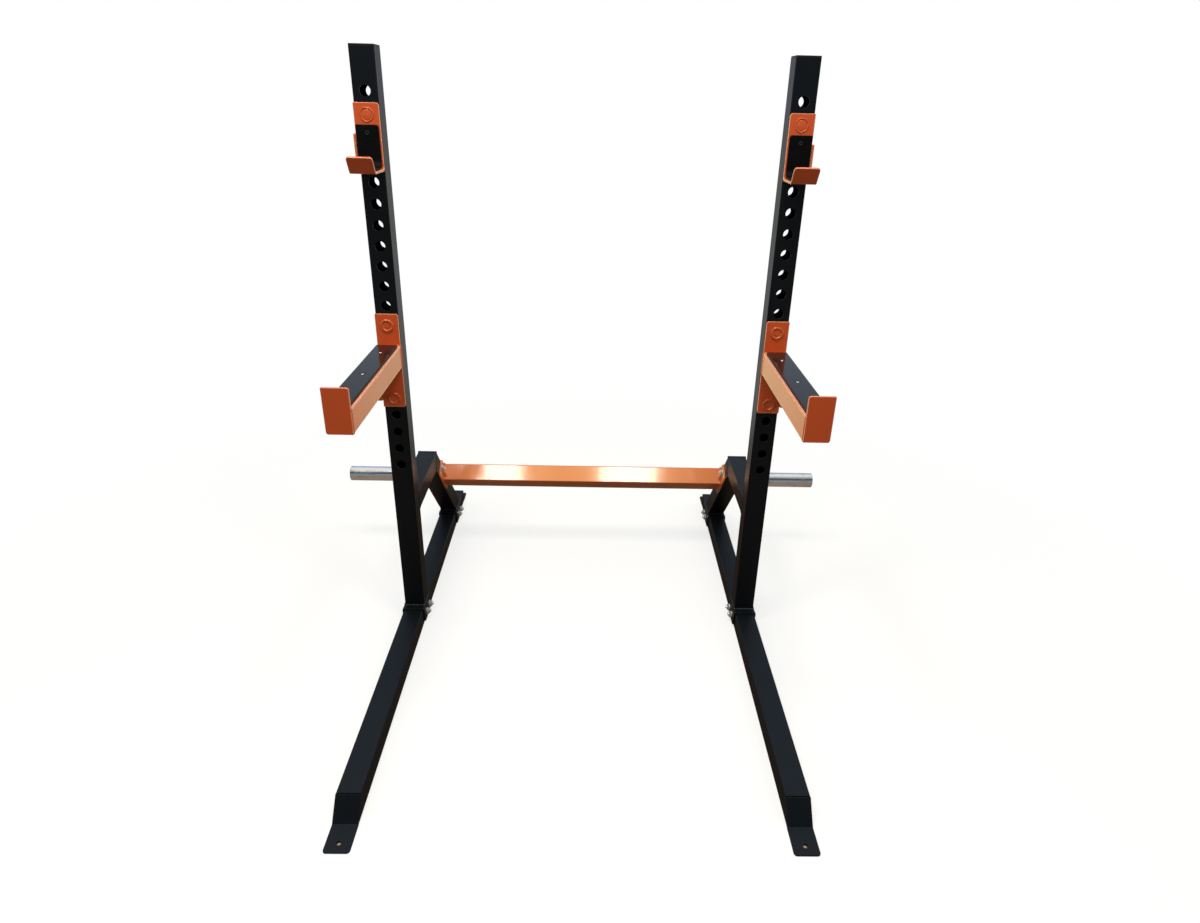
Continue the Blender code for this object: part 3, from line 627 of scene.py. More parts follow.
def rectangle(low, high, first, second):
    """Corners of a box as seen along one axis, from the numbers of the two others."""
    left, right, base, top = low[first], high[first], low[second], high[second]
    return [(left, base), (right, base), (right, top), (left, top)]


def mirrored(rounds, sign):
    """Four corner radii as they are on the right, or with low and high X swapped for the left."""
    return rounds if sign > 0 else [rounds[number] for number in (1, 0, 3, 2)]


def slab(outline, thickness, place, edge=EDGE):
    """A flat plate: its outline carried through its thickness, drawn in by a quarter circle at each face.

    place turns arrays of outline coordinates a and b and a height c into X, Y and Z."""
    inset, height = rounded_rim(thickness, edge)
    rings = inset_outline(outline, inset)
    levels = np.broadcast_to(height[:, None], rings.shape[:2])
    return shell(np.stack(place(rings[..., 0], rings[..., 1], levels), -1))


def bent_path(corners, bend):
    """Points and directions along straight runs that are joined by arcs of the bend radius."""
    corners = np.asarray(corners, float)
    points = [corners[0]]
    first = corners[1] - corners[0]
    headings = [atan2(first[1], first[0])]
    for index in range(1, len(corners) - 1):
        into = corners[index] - corners[index - 1]
        out = corners[index + 1] - corners[index]
        start, sweep, angles = arc_angles(into, out, BEND_TURN)
        reach = bend * tan(abs(sweep) / 2)
        begin = corners[index] - unit(into) * reach
        side = np.sign(sweep)
        centre = begin + side * bend * np.array([-sin(start), cos(start)])
        points += list(centre - side * bend * np.stack([-np.sin(angles), np.cos(angles)], -1))
        headings += list(angles)
    points.append(corners[-1])
    headings.append(headings[-1])
    return np.array(points), np.array(headings)


def strip(corners, bend, width, thickness, rounds, place, edge=EDGE):
    """Sheet bent along a path. Its section, a rectangle with rounded edges, is carried along the path.

    Near each end the section narrows by R - sqrt(R^2 - (R - s)^2) at a distance s from the end, which
    rounds the plate's corners. rounds gives R for low and high width at the start, then at the end."""
    points, headings = bent_path(corners, bend)
    distance = distances(points)
    total = distance[-1]
    corner = np.linspace(0, pi / 2, 4)
    quarter = np.linspace(0, pi / 2, 9)
    near = [edge * (1 - np.cos(corner))]
    near += [radius * (1 - np.cos(quarter)) for radius in rounds if radius > 0]
    near = np.unique(np.round(np.concatenate(near), 7))
    stations = np.unique(np.round(np.concatenate([near, distance, total - near]), 7))
    along = points_at(stations, distance, points)
    heading = np.interp(stations, distance, np.unwrap(headings))
    normal = np.stack([-np.sin(heading), np.cos(heading)], -1)

    def narrowing(radius, from_end):
        inside = np.clip(radius - from_end, 0, radius)
        return radius - np.sqrt(np.maximum(radius**2 - inside**2, 0))

    low = width[0] + np.maximum(narrowing(rounds[0], stations), narrowing(rounds[2], total - stations))
    high = width[1] - np.maximum(narrowing(rounds[1], stations), narrowing(rounds[3], total - stations))
    thin = np.maximum(narrowing(edge, stations), narrowing(edge, total - stations))
    rings = []
    face = thickness / 2 - edge
    for turn, (side, level) in enumerate(((high - edge, face), (low + edge, face), (low + edge, -face),
                                          (high - edge, -face))):
        angle = corner + turn * pi / 2
        across = side[:, None] + (edge - thin[:, None]) * np.cos(angle)
        lift = level + (edge - thin[:, None]) * np.sin(angle)
        rings.append(np.stack([across, lift], -1))
    section = np.concatenate(rings, 1)
    first = along[:, None, 0] + section[..., 1] * normal[:, None, 0]
    second = along[:, None, 1] + section[..., 1] * normal[:, None, 1]
    return shell(np.stack(place(first, second, section[..., 0]), -1))


def square_section(width, height, radius, steps=8):
    """Points of a rectangle with round corners about its centre."""
    a, b = width / 2, height / 2
    return fillet_outline([(a, b), (-a, b), (-a, -b), (a, -b)], [radius] * 4, (pi / 2) / steps)


def tube(centre, along, side, start, end, size):
    """Square tube: the outer and inner section run along a line until each point meets an end plane."""
    along = np.array(Vector(along).normalized())
    side = np.array(Vector(side).normalized())
    up = np.cross(along, side)
    rings = []
    outer = square_section(size[0], size[1], TUBE_CORNER)
    inner = square_section(size[0] - 2 * WALL, size[1] - 2 * WALL, TUBE_CORNER - WALL)
    for section, planes in ((outer, (start, end)), (inner, (end, start))):
        base = np.array(centre) + section[:, :1] * side + section[:, 1:] * up
        for point, normal in planes:
            normal = np.array(normal, float)
            reach = (np.array(point) - base) @ normal / (along @ normal)
            rings.append(base + reach[:, None] * along)
    return shell(np.array(rings), closed=True)


def spokes(along, sides, level=None):
    """Unit direction of a line, angles about it, and the unit spokes at those angles.

    The first spoke points up, or along level where the line is upright."""
    along = Vector(along).normalized()
    upright = abs(along.z) >= 0.5
    first = np.array((level or along.orthogonal().normalized()) if upright else (0.0, 0.0, 1.0))
    along = np.array(along)
    angle = np.linspace(0, 2 * pi, sides, endpoint=False)
    spin = np.cos(angle)[:, None] * first + np.sin(angle)[:, None] * np.cross(along, first)
    return along, angle, spin


def turned(profile, start, along, sides=48):
    """A profile of (distance, radius) turned about a line."""
    along, _, spin = spokes(along, sides)
    profile = np.asarray(profile, float)
    distance = profile[:, 0][:, None, None]
    radius = profile[:, 1][:, None, None]
    return shell(np.array(start) + distance * along + radius * spin[None])


def hexagon_radius(across, angle):
    """Distance from a hexagon's middle to its side: across / 2 / cos of the angle from each flat."""
    return across / 2 / np.cos((angle + pi / 6) % (pi / 3) - pi / 6)


def hexagon_solid(base, along, across, high, both_chamfered=False):
    """A hexagon head or nut, whose top or both faces fall away outside a circle by the chamfer's angle."""
    along, angle, spin = spokes(along, 48)
    radius = hexagon_radius(across, angle)
    circle = np.full_like(radius, across / 2 * HEX_CIRCLE)
    drop = (radius - circle) * tan(HEX_CHAMFER)
    flat = np.zeros_like(radius)
    levels = [(circle, flat), (radius, drop)] if both_chamfered else [(radius, flat)]
    levels += [(radius, high - drop), (circle, flat + high)]
    rings = [np.array(base) + far[:, None] * spin + lift[:, None] * along for far, lift in levels]
    return shell(np.array(rings))


def thread(base, along, length):
    """A bolt's threaded end: its radius zigzags with distance / pitch - turns, and ends in a cone."""
    along, angle, spin = spokes(along, 24)
    distance = np.linspace(0, length, int(length / THREAD_PITCH * 8))[:, None]
    phase = (distance / THREAD_PITCH - angle[None, :] / (2 * pi)) % 1
    radius = BOLT_D / 2 - THREAD_DEPTH * np.abs(2 * phase - 1)
    cone = BOLT_D / 2 - THREAD_DEPTH + np.clip(length - distance, 0, THREAD_DEPTH)
    radius = np.minimum(radius, cone)[..., None]
    return shell(np.array(base) + distance[..., None] * along + radius * spin)


def socket_screw(place, outward):
    """A low round screw head with a hexagon socket, standing on a face."""
    along, angle, spin = spokes(outward, 36, ACROSS)
    hexagon = hexagon_radius(SCREW_SOCKET, angle)
    dome = np.linspace(0, SCREW_BOW, 5)
    rim = SCREW_D / 2 - SCREW_CROWN * (1 - np.cos(dome))
    levels = [(np.full_like(angle, SCREW_D / 2), -SCREW_SUNK)]
    lifts = [SCREW_LIFT * sin(bow) / sin(dome[-1]) for bow in dome]
    levels += [(np.full_like(angle, far), lift) for far, lift in zip(rim, lifts)]
    levels += [(hexagon + SOCKET_RIM, SCREW_LIFT)]
    levels += [(hexagon * share, SCREW_LIFT - depth) for share, depth in SOCKET_STEPS]
    rings = [np.array(place) + far[:, None] * spin + high * along for far, high in levels]
    return shell(np.array(rings))


def washer(base, along):
    """A flat ring with rounded rims."""
    inset, height = rounded_rim(WASHER, WASHER_EDGE)
    hole = (BOLT_D - WASHER_TIGHT) / 2
    outer = [(high, WASHER_D / 2 - draw) for draw, high in zip(inset, height)]
    points, faces = turned(outer + [(WASHER, hole), (0, hole)] + outer[:1], base, along)
    return points, [face for face in faces if len(face) == 4]


def bead(path, thickness, normal, closed=True, ripple=RIPPLE, depth=RIPPLE_DEPTH):
    """A weld bead: a circle carried along a path, its radius swelling in ripples.

    radius = thickness * (1 - depth * |sin(pi * distance / ripple)|), which gives the stacked look."""
    path = np.asarray(path, float)
    if closed:
        path = np.concatenate([path, path[:1]])
    distance = distances(path)
    total = distance[-1]
    ripples = max(2, round(total / ripple))
    count = ripples * 4 + (0 if closed else 1)
    where = np.linspace(0, total, count, endpoint=not closed)
    points = points_at(where, distance, path)
    ahead = np.roll(points, -1, 0) - np.roll(points, 1, 0) if closed else np.gradient(points, axis=0)
    heading = unit(ahead)
    side = unit(np.cross(heading, np.array(normal, float)))
    up = np.cross(side, heading)
    radius = thickness * (1 - depth * np.abs(np.sin(pi * where / total * ripples)))
    if not closed:
        from_end = np.minimum(where, total - where)
        radius = radius * np.sqrt(np.clip(from_end / thickness + BEAD_TIP, 0, 1))
    angle = np.linspace(0, 2 * pi, 10, endpoint=False)
    ring = np.cos(angle)[None, :, None] * side[:, None] + np.sin(angle)[None, :, None] * up[:, None]
    return shell(points[:, None] + radius[:, None, None] * ring, closed=closed)


def make_weld(title, path, thickness, normal, finish=BLACK_BEAD, body="frame", closed=True):
    """A weld bead as a piece of its own."""
    make_piece(title, bead(path, thickness, normal, closed), finish, body)


def in_yz(first, second, across):
    """Place for a path in the YZ plane whose width lies along X."""
    return across, first, second


def in_xz(first, second, across):
    """Place for a path in the XZ plane whose width lies along Y."""
    return first, across, second


def rod_cutter(starts, along, reach, radius):
    """Round rods as one guide solid for a cut."""
    profile = [(0, radius), (reach, radius)]
    return mesh_object("rods", *joined(*[turned(profile, start, along, 40) for start in starts]))


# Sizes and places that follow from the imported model
upright_low, upright_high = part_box("upright_right")
FRONT = upright_low.y
REAR = upright_high.y
INNER = upright_low.x
OUTER = upright_high.x
TUBE = OUTER - INNER
TUBE_DEEP = REAR - FRONT
MIDDLE = (INNER + OUTER) / 2
PLATE_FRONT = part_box("spotter_plate_right")[0].y
SADDLE_TOP = upright_low.z - GAP
CROSS = middle_of("crossbar")
LEG_ALONG = Vector((0, 1, -1)).normalized()
LEG_ACROSS = Vector((0, 1, 1)).normalized()


def stacked(outlines, levels):
    """Rings at the given heights, from one outline for all of them or one for each."""
    levels = np.asarray(levels)[:, None, None]
    outlines = np.broadcast_to(outlines, (len(levels), *outlines.shape[-2:]))
    return np.concatenate([outlines, np.broadcast_to(levels, (*outlines.shape[:2], 1))], -1)


def make_upright(name):
    """The holed tube, its cap with a crowned head over a stem, and the bead at its foot."""
    low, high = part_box("upright_" + name)
    centre = (low + high) / 2
    shape = tube((centre.x, centre.y, 0), UP, ACROSS, (low, UP), (high, UP), (TUBE, TUBE_DEEP))
    top_hole = middle_of("jcup_pin_" + name).z + HOLE_PITCH
    starts = [(centre.x, FRONT - CUT_PAST, top_hole - HOLE_PITCH * number) for number in range(HOLES)]
    holes = rod_cutter(starts, BACK, TUBE + 2 * CUT_PAST, HOLE_D / 2)
    make_piece("holed_upright_" + name, shape, BLACK, "frame", ["upright_" + name], holes)
    low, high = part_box("upright_cap_" + name)
    centre = np.array([centre.x, centre.y])
    inset, height = rounded_rim(CAP_HEAD, CAP_EDGE, 4)
    inset = np.where(height < CAP_HEAD / 2, np.minimum(inset, CAP_LOWER_EDGE), inset)
    outline = square_section(TUBE, TUBE_DEEP, TUBE_CORNER) + centre
    outlines = inset_outline(outline, np.concatenate([[CAP_STEP], inset, [2 * CAP_STEP]]))
    levels = np.concatenate([[0], height, [CAP_HEAD - CAP_DISH]]) + high.z - CAP_HEAD
    stem = [size - 2 * WALL - CAP_SLACK for size in (TUBE, TUBE_DEEP)]
    stem = square_section(*stem, TUBE_CORNER - WALL) + centre
    stem_levels = [low.z, high.z - CAP_HEAD + SUNK]
    shape = joined(shell(stacked(outlines, levels)), shell(stacked(stem, stem_levels)))
    make_piece("top_plug_" + name, shape, MOULDED, "frame", ["upright_cap_" + name])
    foot = square_section(TUBE + FOOT_BEAD_OUT, TUBE_DEEP + FOOT_BEAD_OUT, TUBE_CORNER) + centre
    path = np.column_stack([foot, np.full(len(foot), SADDLE_TOP + BEAD_LIFT)])
    make_weld("weld_upright_foot_" + name, path, WELD, UP)


def make_toe(name, title, corners, hole_y, seam_y, weld_finish):
    """A bent foot plate with its hole, which closes one end of a floor tube, and the bead along its top."""
    node = title + "_foot_plate_" + name
    low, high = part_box("floor_tube_" + name)
    hole = rod_cutter([((low + high).x / 2, hole_y, -CUT_PAST)], UP, 3 * CUT_PAST, FLOOR_HOLE_D / 2)
    shape = strip(corners, FOOT_BEND, (low.x, high.x), FOOT_PLATE, (0, 0, TAB_ROUND, TAB_ROUND), in_yz)
    make_piece(title + "_toe_" + name, shape, BLACK, "frame", [node], hole)
    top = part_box(node)[1].z
    path = [(low.x + TOE_BEAD_IN, seam_y, top), (high.x - TOE_BEAD_IN, seam_y, top)]
    make_weld("weld_" + title + "_toe_" + name, path, FINE_WELD, UP, weld_finish, closed=False)


def make_floor_tube(name):
    """The long floor tube and the bent plates that close its ends."""
    low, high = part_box("floor_tube_" + name)
    centre = (low + high) / 2
    front = ((0, low.y, low.z), LEG_ALONG)
    rear = ((0, high.y, 0), BACK)
    shape = tube((centre.x, 0, centre.z), BACK, ACROSS, front, rear, (TUBE, high.z - low.z))
    make_piece("long_floor_tube_" + name, shape, BLACK, "frame", ["floor_tube_" + name])
    half = FOOT_PLATE / 2
    lean = half / sqrt(2)
    plate_low, plate_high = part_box("front_foot_plate_" + name)
    top = plate_high.z - lean
    run = plate_high.y - lean
    corners = [(run, top), (run - (top - half), half), (plate_low.y, half)]
    make_toe(name, "front", corners, plate_low.y + FLOOR_HOLE_IN, plate_high.y + TOE_BEAD_BACK, BLACK)
    plate_low, plate_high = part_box("rear_foot_plate_" + name)
    corners = [(plate_low.y + half, plate_high.z), (plate_low.y + half, half), (plate_high.y, half)]
    make_toe(name, "rear", corners, plate_high.y - FLOOR_HOLE_IN, plate_low.y, BLACK_BEAD)


def make_saddle(name, title):
    """The inverted U of plate over the floor tube."""
    node = title + "_saddle_" + name
    low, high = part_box(node)
    half = SADDLE_PLATE / 2
    top = high.z - half
    corners = [(low.x + half, low.z), (low.x + half, top), (high.x - half, top), (high.x - half, low.z)]
    shape = strip(corners, SADDLE_BEND, (low.y, high.y), SADDLE_PLATE, (SADDLE_ROUND,) * 4, in_xz)
    make_piece(title + "_saddle_plate_" + name, shape, BLACK, "frame", [node])


def make_bolt(node, title, sign):
    """Hexagon bolt with washers, nut and threaded end, from the CAD bolt's box."""
    low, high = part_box(node)
    _, y, z = (low + high) / 2
    outer_face = (high.x if sign > 0 else low.x) - sign * HEAD_HIGH
    inner_face = (low.x if sign > 0 else high.x) + sign * (NUT_HIGH + BOLT_END)
    out = (sign, 0, 0)
    back = (-sign, 0, 0)
    seat = (outer_face + sign * WASHER, y, z)
    nut_seat = (inner_face - sign * WASHER, y, z)
    end_at = (inner_face - sign * (NUT_HIGH - THREAD_SUNK), y, z)
    shape = joined(
        washer((outer_face, y, z), out),
        hexagon_solid(seat, out, HEX_ACROSS, HEAD_HIGH - WASHER),
        turned([(0, BOLT_D / 2), (abs(outer_face - inner_face), BOLT_D / 2)], (outer_face, y, z), back, 24),
        washer((inner_face, y, z), back),
        hexagon_solid(nut_seat, back, HEX_ACROSS, NUT_HIGH - WASHER, both_chamfered=True),
        thread(end_at, back, BOLT_END + THREAD_SUNK),
    )
    make_piece(title, shape, ZINC, "frame", [node])


def make_brace(name):
    """The level beam, the sloping leg mitred to it, and their beads."""
    beam_low, beam_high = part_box("rear_beam_" + name)
    leg_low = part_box("rear_leg_" + name)[0].z
    x = (beam_low.x + beam_high.x) / 2
    beam_z = (beam_low.z + beam_high.z) / 2
    slope = tan(pi / 8)
    mitre = Vector((0, 1, -slope)).normalized()
    corner_y = beam_high.y - TUBE * slope
    end = ((x, corner_y, beam_low.z), mitre)
    shape = tube((x, 0, beam_z), BACK, ACROSS, (beam_low, BACK), end, (TUBE, TUBE))
    make_piece("level_beam_" + name, shape, BLACK, "frame", ["rear_beam_" + name])
    start = ((x, corner_y + GAP, beam_low.z), mitre)
    shape = tube((x, CROSS.y, CROSS.z), LEG_ALONG, ACROSS, start, ((0, 0, leg_low), UP), (TUBE, TUBE))
    make_piece("sloping_leg_" + name, shape, BLACK, "frame", ["rear_leg_" + name])
    half = TUBE / 2
    top_y, top_z = beam_high.y + SUNK, beam_high.z + SUNK
    low_y, low_z = corner_y - SUNK, beam_low.z - SUNK
    sides = ((half, low_y, low_z), (half, top_y, top_z), (-half, top_y, top_z), (-half, low_y, low_z))
    path = [(x + a, y, z) for a, y, z in sides]
    make_weld("weld_mitre_" + name, path, FINE_WELD, mitre)
    square = square_section(TUBE - BEAM_BEAD_IN, TUBE - BEAM_BEAD_IN, TUBE_CORNER)
    path = [(x + a, REAR + SUNK, beam_z + b) for a, b in square]
    make_weld("weld_beam_" + name, path, SLIM_WELD, BACK)
    foot_y = CROSS.y + CROSS.z - leg_low
    oblong = square_section(TUBE, TUBE * sqrt(2), TUBE_CORNER)
    path = [(x + a, foot_y + b, SADDLE_TOP + BEAD_LIFT) for a, b in oblong]
    make_weld("weld_leg_foot_" + name, path, WELD, UP)


def leg_frame(along, across):
    """Y and Z of a place on the leg, by its distances along and across the leg from the crossbar."""
    place_y = CROSS.y + along * LEG_ALONG.y + across * LEG_ACROSS.y
    place_z = CROSS.z + along * LEG_ALONG.z + across * LEG_ACROSS.z
    return place_y, place_z


def make_flange(name, sign):
    """The flange plate on the leg's inner side and the bead around the crossbar's end."""
    node = "crossbar_flange_" + name
    low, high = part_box(node)
    half = ((high.y - low.y) * sqrt(2) - TUBE) / 2
    side = TUBE / 2
    outline = fillet_outline([(half, side), (-half, side), (-half, -side), (half, -side)], [FLANGE_ROUND] * 4)
    shape = slab(outline, FLANGE, lambda a, b, c: (low.x + c, *leg_frame(a, b)))
    make_piece("flange_plate_" + name, shape, ORANGE, "frame", [node])
    face = (low.x if sign > 0 else high.x) - sign * FLANGE_BEAD_OUT
    path = [(face, *leg_frame(a, b)) for a, b in square_section(TUBE, TUBE, TUBE_CORNER)]
    make_weld("weld_crossbar_" + name, path, HEAVY_WELD, ACROSS, ORANGE_BEAD)


def make_crossbar():
    """The square tube between the flanges."""
    low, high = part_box("crossbar")
    shape = tube(CROSS, ACROSS, LEG_ACROSS, (low, ACROSS), (high, ACROSS), (TUBE, TUBE))
    make_piece("cross_tube", shape, ORANGE_TUBE, "frame", ["crossbar"])


def make_peg(name, sign):
    """The bright peg with a rounded rim, its plug and the bead at its root."""
    low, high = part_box("weight_peg_" + name)
    radius = (high.z - low.z) / 2
    length = high.x - low.x
    start = (low.x if sign > 0 else high.x, CROSS.y, CROSS.z)
    out = (sign, 0, 0)
    bore = radius - PEG_WALL
    arc = np.linspace(0, pi / 2, 6)
    rim = [(length - PEG_RIM + PEG_RIM * sin(a), radius - PEG_RIM + PEG_RIM * cos(a)) for a in arc]
    down, wider = PEG_BORE_RIM
    profile = [(0, radius)] + rim + [(length, bore + wider), (length - down, bore), (0, bore), (0, radius)]
    points, faces = turned(profile, start, out, 72)
    open_ended = [face for face in faces if len(face) == 4]
    make_piece("plate_peg_" + name, (points, open_ended), PEG_STEEL, "frame", ["weight_peg_" + name])
    inner = bore - PEG_PLUG_SLACK
    back = length - PEG_PLUG
    down, narrower = PEG_PLUG_RIM
    profile = [(back, inner - PEG_PLUG_EDGE), (back + PEG_PLUG_EDGE, inner), (length - down, inner)]
    profile += [(length - PEG_PLUG_DOWN, inner - narrower)]
    profile += [(length - down, inner * share) for down, share in PEG_PLUG_FACE]
    shape = turned(profile, start, out, 56)
    make_piece("peg_end_plug_" + name, shape, MOULDED, "frame", ["peg_plug_" + name])
    angle = np.linspace(0, 2 * pi, 48, endpoint=False)
    ring = np.stack([CROSS.y + radius * np.cos(angle), CROSS.z + radius * np.sin(angle)], -1)
    path = np.column_stack([np.full(len(ring), start[0]), ring])
    make_weld("weld_peg_" + name, path, WELD, ACROSS)


def make_pin(node, title, body, spread=PIN_BEAD_OUT, weld=PIN_WELD):
    """A pin through the upright, with its uneven ring of weld on the plate's face."""
    low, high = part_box(node)
    centre = (low + high) / 2
    radius = PIN_D / 2
    face = PLATE_FRONT
    length = high.y - face
    profile = [(-PIN_CROWN, radius * TIP_SHARE)] + [(far, radius + change) for far, change in PIN_HEAD]
    profile += [(length - PIN_TAPER, radius)]
    profile += [(length + far, radius - PIN_TAPER + change) for far, change in PIN_NOSE]
    angle = np.linspace(0, 2 * pi, 40, endpoint=False)
    wavy = sum(high * np.sin(waves * angle + start) for waves, start, high in PIN_WELD_WAVES)
    ring = radius + spread + wavy
    across = centre.x + ring * np.cos(angle)
    path = np.column_stack([across, np.full(len(ring), face - SUNK), centre.z + ring * np.sin(angle)])
    pin = turned(profile, (centre.x, face, centre.z), BACK, 40)
    shape = joined(pin, bead(path, weld, BACK, ripple=PIN_RIPPLE, depth=PIN_RIPPLE_DEPTH))
    make_piece(title, shape, ORANGE_BEAD, body, [node])


def make_front_plate(node, title, body, radii):
    """A flat plate that faces the front, over its CAD node's box."""
    low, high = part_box(node)
    outline = fillet_outline(rectangle(low, high, 0, 2), radii)
    shape = slab(outline, PLATE, lambda a, b, c: (a, low.y + c, b))
    make_piece(title, shape, ORANGE, body, [node])


def make_cheek(node, title, body, corners, radii):
    """A plate beside the upright's outer side, from its outline in Y and Z."""
    low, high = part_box(node)
    shape = slab(fillet_outline(corners, radii), high.x - low.x, lambda a, b, c: (low.x + c, a, b))
    make_piece(title, shape, ORANGE, body, [node])


def weld_cheek(title, sign, low_z, high_z, body):
    """The upright bead between a cheek and its front plate."""
    x, y = sign * (OUTER + CHEEK_BEAD_OUT), PLATE_FRONT + PLATE / 2
    make_weld(title, [(x, y, low_z), (x, y, high_z)], SLIM_WELD, BACK, ORANGE_BEAD, body, closed=False)


def make_jcup(name, sign):
    """The bent cup, its liner with its screw, its pin and its cheek."""
    body = "jcup_" + name + "_assembly"
    low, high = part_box("jcup_" + name)
    mid = high.y - PLATE / 2
    floor = low.z + PLATE / 2
    lip_foot = low.y + LIP_LEAN + (PLATE / 2) * LIP_COSINE
    corners = [(mid, high.z), (mid, floor), (lip_foot, floor), (lip_foot - LIP_LEAN, LIP_HIGH + floor)]
    shape = strip(corners, CUP_BEND, (low.x, high.x), PLATE, mirrored(CUP_ROUNDS, sign), in_yz)
    make_piece("bar_cup_" + name, shape, ORANGE, body, ["jcup_" + name])
    make_pin("jcup_pin_" + name, "cup_pin_" + name, body, CUP_PIN_BEAD_OUT, CUP_PIN_WELD)
    low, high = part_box("jcup_liner_" + name)
    mid = high.y - LINER / 2
    corners = [(mid, high.z), (mid, low.z + LINER / 2), (low.y, low.z + LINER / 2)]
    shape = strip(corners, LINER_BEND, (low.x, high.x), LINER, mirrored(LINER_ROUNDS, sign), in_yz)
    make_piece("cup_liner_" + name, shape, LINER_BLACK, body, ["jcup_liner_" + name])
    screw = socket_screw(((low.x + high.x) / 2, mid - LINER / 2, high.z - LINER_SCREW_DOWN), (0, -1, 0))
    make_piece("liner_screw_" + name, screw, MOULDED, body)
    low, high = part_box("jcup_side_plate_" + name)
    corners = rectangle(low, high, 1, 2)
    make_cheek("jcup_side_plate_" + name, "cup_cheek_" + name, body, corners, CUP_CHEEK_ROUNDS)
    weld_cheek("weld_cup_cheek_" + name, sign, low.z + CHEEK_BEAD_IN, high.z - CHEEK_BEAD_IN, body)


def make_spotter(name, sign):
    """The safety arm: hanging plate, gusset, tube, end plate, pad with its screws, pins and beads."""
    body = "spotter_" + name + "_assembly"
    make_front_plate("spotter_plate_" + name, "hanging_plate_" + name, body, mirrored(HANGING_ROUNDS, sign))
    make_pin("spotter_upper_pin_" + name, "arm_upper_pin_" + name, body)
    make_pin("spotter_lower_pin_" + name, "arm_lower_pin_" + name, body)
    low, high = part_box("spotter_side_plate_" + name)
    gusset_low = low.z
    front = PLATE_FRONT - GUSSET_AHEAD
    corners = [(high.y, low.z), (high.y, high.z), (front, high.z), (front, high.z - GUSSET_DROPS[0]),
               (low.y, high.z - GUSSET_DROPS[1]), (low.y, low.z + GUSSET_RISE), (front, low.z)]
    make_cheek("spotter_side_plate_" + name, "arm_gusset_" + name, body, corners, GUSSET_ROUNDS)
    arm_low, arm_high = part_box("spotter_arm_" + name)
    centre = (arm_low + arm_high) / 2
    shape = tube((centre.x, 0, centre.z), BACK, ACROSS, (arm_low, BACK), (arm_high, BACK), (TUBE, TUBE))
    make_piece("arm_tube_" + name, shape, ORANGE_ARM, body, ["spotter_arm_" + name])
    end_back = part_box("spotter_end_plate_" + name)[1].y
    make_front_plate("spotter_end_plate_" + name, "arm_end_plate_" + name, body, mirrored(END_ROUNDS, sign))
    low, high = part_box("spotter_pad_" + name)
    outline = fillet_outline(rectangle(low, high, 0, 1), [PAD_ROUND] * 4)
    shape = slab(outline, high.z - low.z, lambda a, b, c: (a, b, low.z + c), PAD_EDGE)
    x, seat = (low.x + high.x) / 2, high.z - SCREW_RECESS
    places = [(x, high.y - PAD_SCREW_BACK - PAD_SCREW_PITCH * number, seat) for number in range(PAD_SCREWS)]
    recess = rod_cutter(places, UP, CUT_PAST, SCREW_RECESS_D / 2)
    make_piece("arm_pad_" + name, shape, PAD_DARK, body, ["spotter_pad_" + name], recess)
    screws = [socket_screw(place, UP) for place in places]
    make_piece("pad_screws_" + name, joined(*screws), SCREW, body)
    square = square_section(TUBE, TUBE, TUBE_CORNER)
    for title, y, weld in (("root", PLATE_FRONT - GAP, WELD), ("tip", end_back + SUNK, FINE_WELD)):
        path = [(centre.x + a, y, centre.z + b) for a, b in square]
        make_weld("weld_arm_" + title + "_" + name, path, weld, BACK, ORANGE_BEAD, body)
    weld_cheek("weld_gusset_" + name, sign, gusset_low + CHEEK_BEAD_IN, arm_low.z, body)


def build_rack():
    """Every piece of the rack."""
    make_crossbar()
    for name, sign in SIDES:
        make_upright(name)
        make_floor_tube(name)
        make_saddle(name, "front")
        make_saddle(name, "rear")
        make_brace(name)
        make_flange(name, sign)
        make_peg(name, sign)
        make_jcup(name, sign)
        make_spotter(name, sign)
        for title in ("front_saddle_bolt_front", "front_saddle_bolt_rear", "rear_saddle_bolt_front",
                      "rear_saddle_bolt_rear", "crossbar_bolt_upper", "crossbar_bolt_lower"):
            make_bolt(title + "_" + name, title.replace("bolt", "hex_bolt") + "_" + name, sign)


def any_of(shader, *outputs):
    """1 for a ray of any of the named kinds."""
    kinds = [shader.add("ShaderNodeLightPath", out=kind) for kind in outputs]
    total = kinds[0]
    for kind in kinds[1:]:
        total = total + kind
    return shader.clamp(total, 0.0, 1.0)


def in_holes(shader, where, reach):
    """1 on the floor within reach of the holes' middles in the four foot plates, where the photo is dark:
    there the floor gets painted shade.
    """
    x, y, _ = shader.split(where)
    aside = x.absolute() - MIDDLE
    found = None
    for node, inward in (("front_foot_plate_right", 1), ("rear_foot_plate_right", -1)):
        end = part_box(node)[0 if inward > 0 else 1].y
        along = y - (end + inward * FLOOR_HOLE_IN)
        near = 1.0 - (((aside * aside + along * along) ** 0.5) > reach)
        found = near if found is None else found + near
    return found


